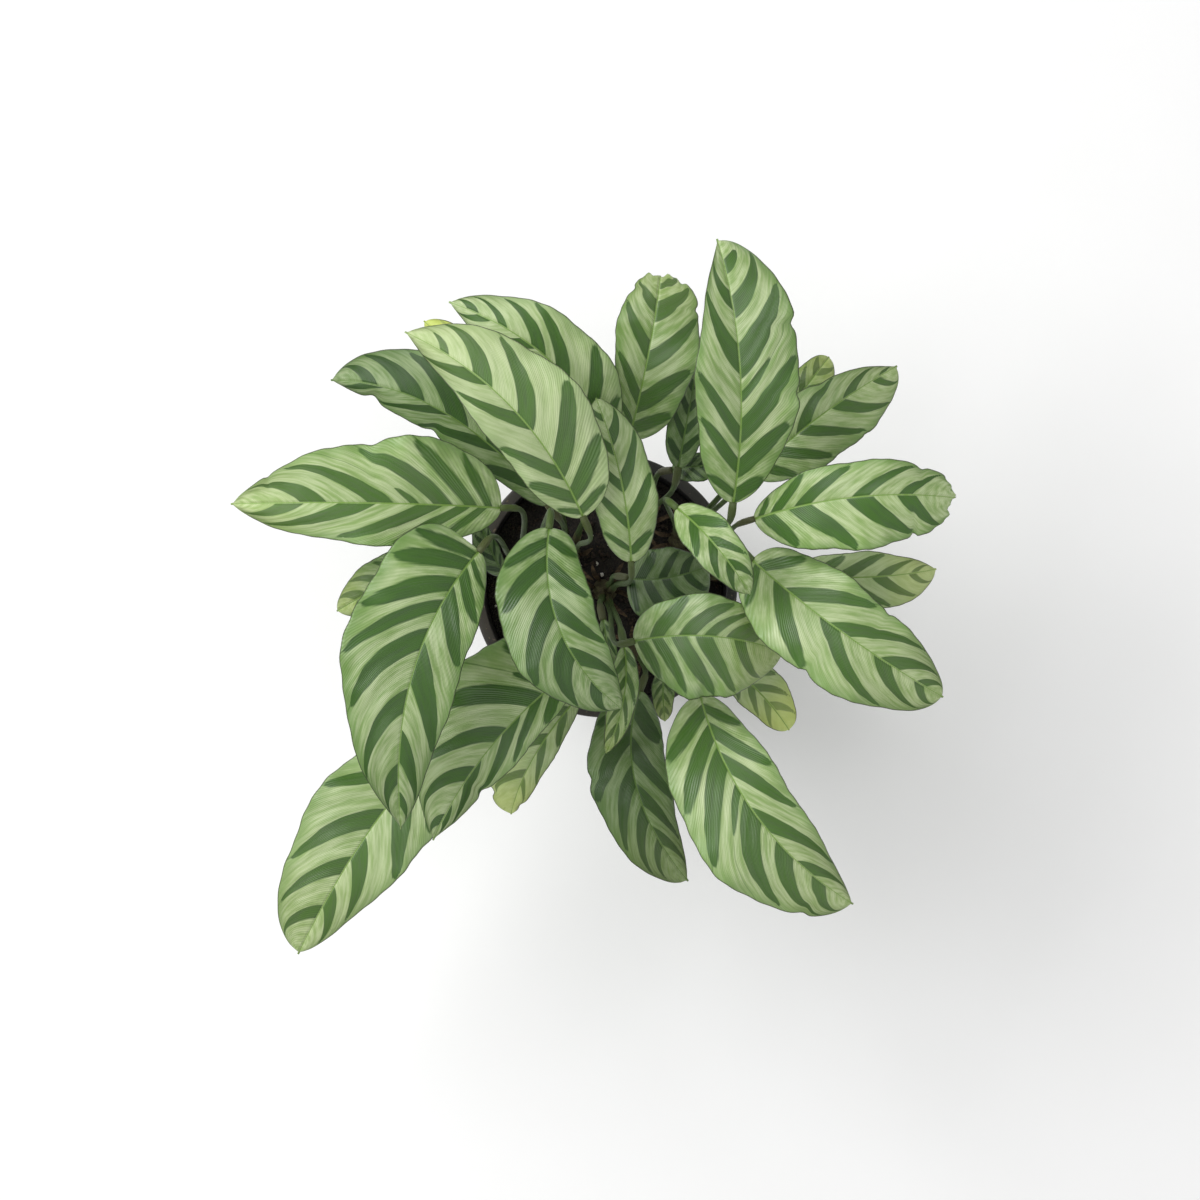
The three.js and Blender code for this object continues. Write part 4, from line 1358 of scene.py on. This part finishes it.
def crumb(place, size, rng):
    """A small angular grain: an icosphere pulled out of shape."""
    form = bmesh.new()
    bmesh.ops.create_icosphere(form, subdivisions=1, radius=1.0)
    stretch = rng.uniform(0.6, 1.15, 3) * size
    points = np.array([vertex.co for vertex in form.verts]) * rng.uniform(0.8, 1.12, (len(form.verts), 1))
    faces = [tuple(vertex.index for vertex in face.verts) for face in form.faces]
    form.free()
    turn = rng.uniform(0, 2 * math.pi)
    spin = np.array([[math.cos(turn), -math.sin(turn), 0], [math.sin(turn), math.cos(turn), 0], [0, 0, 1]])
    return (points * stretch) @ spin.T + place, faces


def soil_piece(rng):
    """The filling with its crumbs and grains. Its kind is 0 for peat, 0.5 for bark and 1 for perlite."""
    points = [soil_points()]
    faces = tube_faces(len(soil_profile()) + SOIL_RINGS, SOIL_SIDES, 0)
    kinds = [np.zeros(len(points[0]))]
    for count, sizes, kind in ((CRUMBS, CRUMB_SIZE, 0.5), (PERLITE, PERLITE_SIZE, 1.0)):
        for _ in range(count):
            radius = (SOIL_RADIUS - sizes[1]) * math.sqrt(rng.uniform())
            turn = rng.uniform(0, 2 * math.pi)
            x, y = radius * math.cos(turn), radius * math.sin(turn)
            size = rng.uniform(*sizes)
            grain, grain_faces = crumb((x, y, soil_level(x, y) + 0.2 * size), size, rng)
            first = sum(len(group) for group in points)
            faces += [tuple(first + k for k in face) for face in grain_faces]
            points.append(grain)
            kinds.append(np.full(len(grain), kind))
    piece = mesh_piece("soil_filling", np.concatenate(points), faces)
    flags = np.concatenate(kinds)
    carry(piece, "soil_kind", np.stack([flags, flags * 0, flags * 0], axis=1))
    return piece


print("soil function ready")

# %% [markdown]
# Damp peat is nearly black, bark is brown and perlite is off-white. The mesh carries which of them each
# point belongs to, so one material can finish all three, with the same fine mottling in its own colours.

# %% Material: peat with perlite
PEAT_COLOURS = (shade(18, 15, 13), shade(44, 36, 30))
BARK_COLOURS = (shade(30, 23, 18), shade(62, 48, 36))
PERLITE_COLOURS = (shade(196, 190, 178), shade(236, 233, 226))
DAMP_PEAT = shade(12, 10, 9)
SOIL_RELIEF = 0.9 * MM


def soil_colour(tree):
    place = object_place(tree)
    kind = split(tree, field(tree, "soil_kind"))[0]
    fine = rise(tree, mottle(tree, place, 900.0, 5.0), 0.35, 0.7)
    peat = paint(tree, fine, *PEAT_COLOURS)
    bark = paint(tree, fine, *BARK_COLOURS)
    perlite = paint(tree, fine, *PERLITE_COLOURS)
    clumps = rise(tree, mottle(tree, place, 160.0), 0.45, 0.65)
    peat = paint(tree, times(tree, clumps, 0.5), peat, DAMP_PEAT)
    colour = paint(tree, rise(tree, kind, 0.3, 0.45), peat, bark)
    return paint(tree, rise(tree, kind, 0.75, 0.9), colour, perlite)


def soil_roughness(tree):
    return spread(tree, mottle(tree, object_place(tree), 500.0), 0.85, 1.0)


def soil_height(tree):
    return mottle(tree, object_place(tree), 1100.0, 6.0)


soil_material = finish("peat_and_perlite", soil_colour, soil_roughness, soil_height, SOIL_RELIEF)
soil = settle(soil_piece(np.random.default_rng(7)), ["soil"], "soil", soil_material)
print("soil faces:", len(soil.data.polygons))

# %% [markdown]
# ## The pot
# The pot is a plain nursery pot, moulded in thin black plastic: a tapered wall, a stepped collar that lets
# pots stack, a flat rim and drain holes in the floor. Turning one outline about the axis gives its whole
# form, with a Screw modifier or as rings of points. Rings are used here, because the outline's corners
# can be rounded first, and then the holes are cut with a Boolean modifier that is applied to the mesh.

# %% Build the pot
POT_SIDES = 144
CORNER_ROUND = 0.9
CORNER_STEPS = 4
MOST_CUT_OFF = 0.45
SHARP_ANGLE = math.radians(35)
DRAIN_HOLES = 8
DRAIN_HOLE_RADIUS = 4.5
DRAIN_RING_RADIUS = 34
DRAIN_HOLE_SIDES = 32
DRILL_SPARE = 5
FOOT_RISE = 1.0
FOOT_INSIDE = 7
FOOT_OUTSIDE = 6
AXIS_HOLE = 0.5


def pot_outline():
    """Radius and height, from the middle of the underside, up the outside and down the inside."""
    rim_bottom = POT_HEIGHT - RIM_HEIGHT
    collar_top_radius = POT_COLLAR_RADIUS + COLLAR_FLARE
    underside = [
        (AXIS_HOLE, FOOT_RISE),
        (POT_BASE_RADIUS - FOOT_INSIDE, FOOT_RISE),
        (POT_BASE_RADIUS - FOOT_OUTSIDE, 0.0),
        (POT_BASE_RADIUS, 0.0),
    ]
    outside = [
        (POT_WAIST_RADIUS, COLLAR_BOTTOM - COLLAR_STEP),
        (POT_COLLAR_RADIUS, COLLAR_BOTTOM),
        (collar_top_radius, rim_bottom),
        (POT_RIM_RADIUS, rim_bottom),
        (POT_RIM_RADIUS, POT_HEIGHT),
    ]
    inside = [
        (collar_top_radius - POT_WALL, POT_HEIGHT),
        (POT_COLLAR_RADIUS - POT_WALL, COLLAR_BOTTOM),
        (POT_WAIST_RADIUS - POT_WALL, COLLAR_BOTTOM - 2 * COLLAR_STEP),
        (POT_BASE_RADIUS - POT_WALL, POT_FLOOR),
        (AXIS_HOLE, POT_FLOOR),
    ]
    return underside + outside + inside


def rounded(outline):
    """Cuts each corner and puts a short curve in its place."""
    points = [np.array(outline[0])]
    for before, corner, after in zip(outline, outline[1:], outline[2:]):
        before, corner, after = (np.array(point, float) for point in (before, corner, after))
        back, on = before - corner, after - corner
        cut = min(CORNER_ROUND, MOST_CUT_OFF * np.linalg.norm(back), MOST_CUT_OFF * np.linalg.norm(on))
        start = corner + back / np.linalg.norm(back) * cut
        end = corner + on / np.linalg.norm(on) * cut
        for t in np.linspace(0, 1, CORNER_STEPS):
            points.append((1 - t) ** 2 * start + 2 * t * (1 - t) * corner + t**2 * end)
    points.append(np.array(outline[-1]))
    return points


def cut_away(piece, cutters):
    """Cuts the other meshes out of a piece and applies the result."""
    for cutter in cutters:
        modifier = piece.modifiers.new("cut", "BOOLEAN")
        modifier.object = cutter
        modifier.operation = "DIFFERENCE"
        modifier.solver = "EXACT"
    bpy.context.view_layer.update()
    graph = bpy.context.evaluated_depsgraph_get()
    mesh = bpy.data.meshes.new_from_object(piece.evaluated_get(graph))
    piece.modifiers.clear()
    piece.data = mesh
    for cutter in cutters:
        bpy.data.objects.remove(cutter)


def pot_piece():
    """The outline turned about the axis, with the drain holes cut out of the floor."""
    outline = rounded(pot_outline())
    points = [point for radius, height in outline for point in round_points(radius, height, POT_SIDES)]
    piece = mesh_piece("nursery_pot", points, tube_faces(len(outline), POT_SIDES, 0))
    cutters = []
    for k in range(DRAIN_HOLES):
        turn = 2 * math.pi * (k + 0.5) / DRAIN_HOLES
        x, y = DRAIN_RING_RADIUS * math.cos(turn), DRAIN_RING_RADIUS * math.sin(turn)
        drill = []
        for height in (-DRILL_SPARE, POT_FLOOR + DRILL_SPARE):
            ring = round_points(DRAIN_HOLE_RADIUS, height, DRAIN_HOLE_SIDES)
            drill += [(px + x, py + y, z) for px, py, z in ring]
        cutters.append(mesh_piece(f"drill_{k}", drill, tube_faces(2, DRAIN_HOLE_SIDES, 0)))
    cut_away(piece, cutters)
    return piece


def sharpen(piece, angle):
    """Keeps corners crisp and curved walls smooth."""
    form = bmesh.new()
    form.from_mesh(piece.data)
    for edge in form.edges:
        edge.smooth = not (edge.is_manifold and edge.calc_face_angle(0) > angle)
    form.to_mesh(piece.data)
    form.free()


pot = pot_piece()
sharpen(pot, SHARP_ANGLE)
print("pot faces:", len(pot.data.polygons))

# %% [markdown]
# Moulded plastic has a fine grain, faint rings from the mould, and after some time on a bench a film of
# dust and soil splashes near its foot and on its rim. Dust is a group, because the floor uses it too.

# %% Group: dust and specks
dust_group, entry, out = new_group(
    "Dust and specks",
    [("Place", "Vector"), ("Film", "Float"), ("Specks", "Float"), ("Fineness", "Float")],
    [("Amount", "Float")],
)
t = dust_group
film = rise(t, mottle(t, entry["Place"], 14.0, 5.0), 0.3, 0.8)
specks = rise(t, mottle(t, entry["Place"], entry["Fineness"], 2.0), 0.66, 0.72)
amount = maths(t, "ADD", times(t, film, entry["Film"]), times(t, specks, entry["Specks"]))
fill(t, out["Amount"], maths(t, "MINIMUM", amount, 1.0))
print("group:", dust_group.name)

# %% Material: black moulded plastic
PLASTIC_COLOURS = (shade(26, 26, 28), shade(40, 40, 42))
DUST_COLOUR = shade(120, 104, 84)
DUSTY_ROUGHNESS = 0.4
SPLASH_HEIGHT = 30 * MM
MOULD_RING_GAP = 1.4 * MM
MOULD_RING_DEPTH = 0.08
POT_RELIEF = 0.08 * MM


def pot_dust(tree):
    """How dusty the pot is: most near its foot and on surfaces that face up."""
    place = object_place(tree)
    amount = use(tree, dust_group, {"Place": place, "Film": 0.25, "Specks": 0.55, "Fineness": 420.0})[0]
    low = fall(tree, split(tree, place)[2], 0.0, SPLASH_HEIGHT)
    upward = split(tree, add(tree, "ShaderNodeNewGeometry").outputs["Normal"])[2]
    where = maths(tree, "MAXIMUM", times(tree, low, 0.7), rise(tree, upward, 0.5, 1.0))
    return times(tree, amount, spread(tree, where, 0.25, 1.0))


def pot_colour(tree):
    plastic = paint(tree, mottle(tree, object_place(tree), 40.0), *PLASTIC_COLOURS)
    return paint(tree, pot_dust(tree), plastic, DUST_COLOUR)


def pot_roughness(tree):
    grain = spread(tree, mottle(tree, object_place(tree), 700.0), 0.34, 0.5)
    return maths(tree, "MULTIPLY_ADD", pot_dust(tree), DUSTY_ROUGHNESS, grain)


def pot_height(tree):
    place = object_place(tree)
    rings = maths(tree, "SINE", times(tree, split(tree, place)[2], 2 * math.pi / MOULD_RING_GAP))
    return maths(tree, "MULTIPLY_ADD", rings, MOULD_RING_DEPTH, mottle(tree, place, 1600.0))


pot_material = finish("black_plastic", pot_colour, pot_roughness, pot_height, POT_RELIEF)
settle(pot, ["pot"], "pot_plastic", pot_material)
print("material:", pot_material.name)

# %% [markdown]
# ## Floor and light
# The picture has a white ground and soft light without hard shadows. A pale floor, a bright even sky and
# two large soft lamps above give that. The lamps stand outside the camera's view.

# %% Floor
FLOOR_HALF_SIZE = 4.0
FLOOR_COLOURS = (shade(252, 252, 252), shade(248, 248, 247))

floor_corners = [(-1, -1, 0), (1, -1, 0), (1, 1, 0), (-1, 1, 0)]
floor = mesh_piece("floor", np.array(floor_corners) * FLOOR_HALF_SIZE / MM, [(0, 1, 2, 3)])


def floor_colour(tree):
    specks = {"Place": object_place(tree), "Film": 0.3, "Specks": 0.0, "Fineness": 60.0}
    return paint(tree, use(tree, dust_group, specks)[0], *FLOOR_COLOURS)


def floor_roughness(tree):
    return spread(tree, mottle(tree, object_place(tree), 3.0), 0.85, 0.95)


floor.data.materials.append(finish("floor", floor_colour, floor_roughness))
print("floor is", 2 * FLOOR_HALF_SIZE, "m wide")

# %% Sky and lamps
SKY_STRENGTH = 0.55
# Lamp: place in metres, side in metres, power in watts
LAMPS = {
    "lamp_key": ((-1.0, 0.55, 1.3), 1.2, 22.5),
    "lamp_fill": ((0.9, -0.6, 1.4), 1.2, 4.0),
}
LAMP_TARGET = Vector((0, 0, 0.2))

scene.view_settings.view_transform = "Standard"
world = bpy.data.worlds.new("sky")
scene.world = world
world.use_nodes = True
sky = world.node_tree.nodes["Background"]
sky.inputs["Color"].default_value = (1.0, 1.0, 1.0, 1.0)
sky.inputs["Strength"].default_value = SKY_STRENGTH
for name, (place, size, power) in LAMPS.items():
    lamp_data = bpy.data.lights.new(name, "AREA")
    lamp_data.size = size
    lamp_data.energy = power
    lamp = bpy.data.objects.new(name, lamp_data)
    lamp.location = place
    lamp.rotation_euler = (LAMP_TARGET - Vector(place)).to_track_quat("-Z", "Y").to_euler()
    scene.collection.objects.link(lamp)
print("lamps:", len(LAMPS))
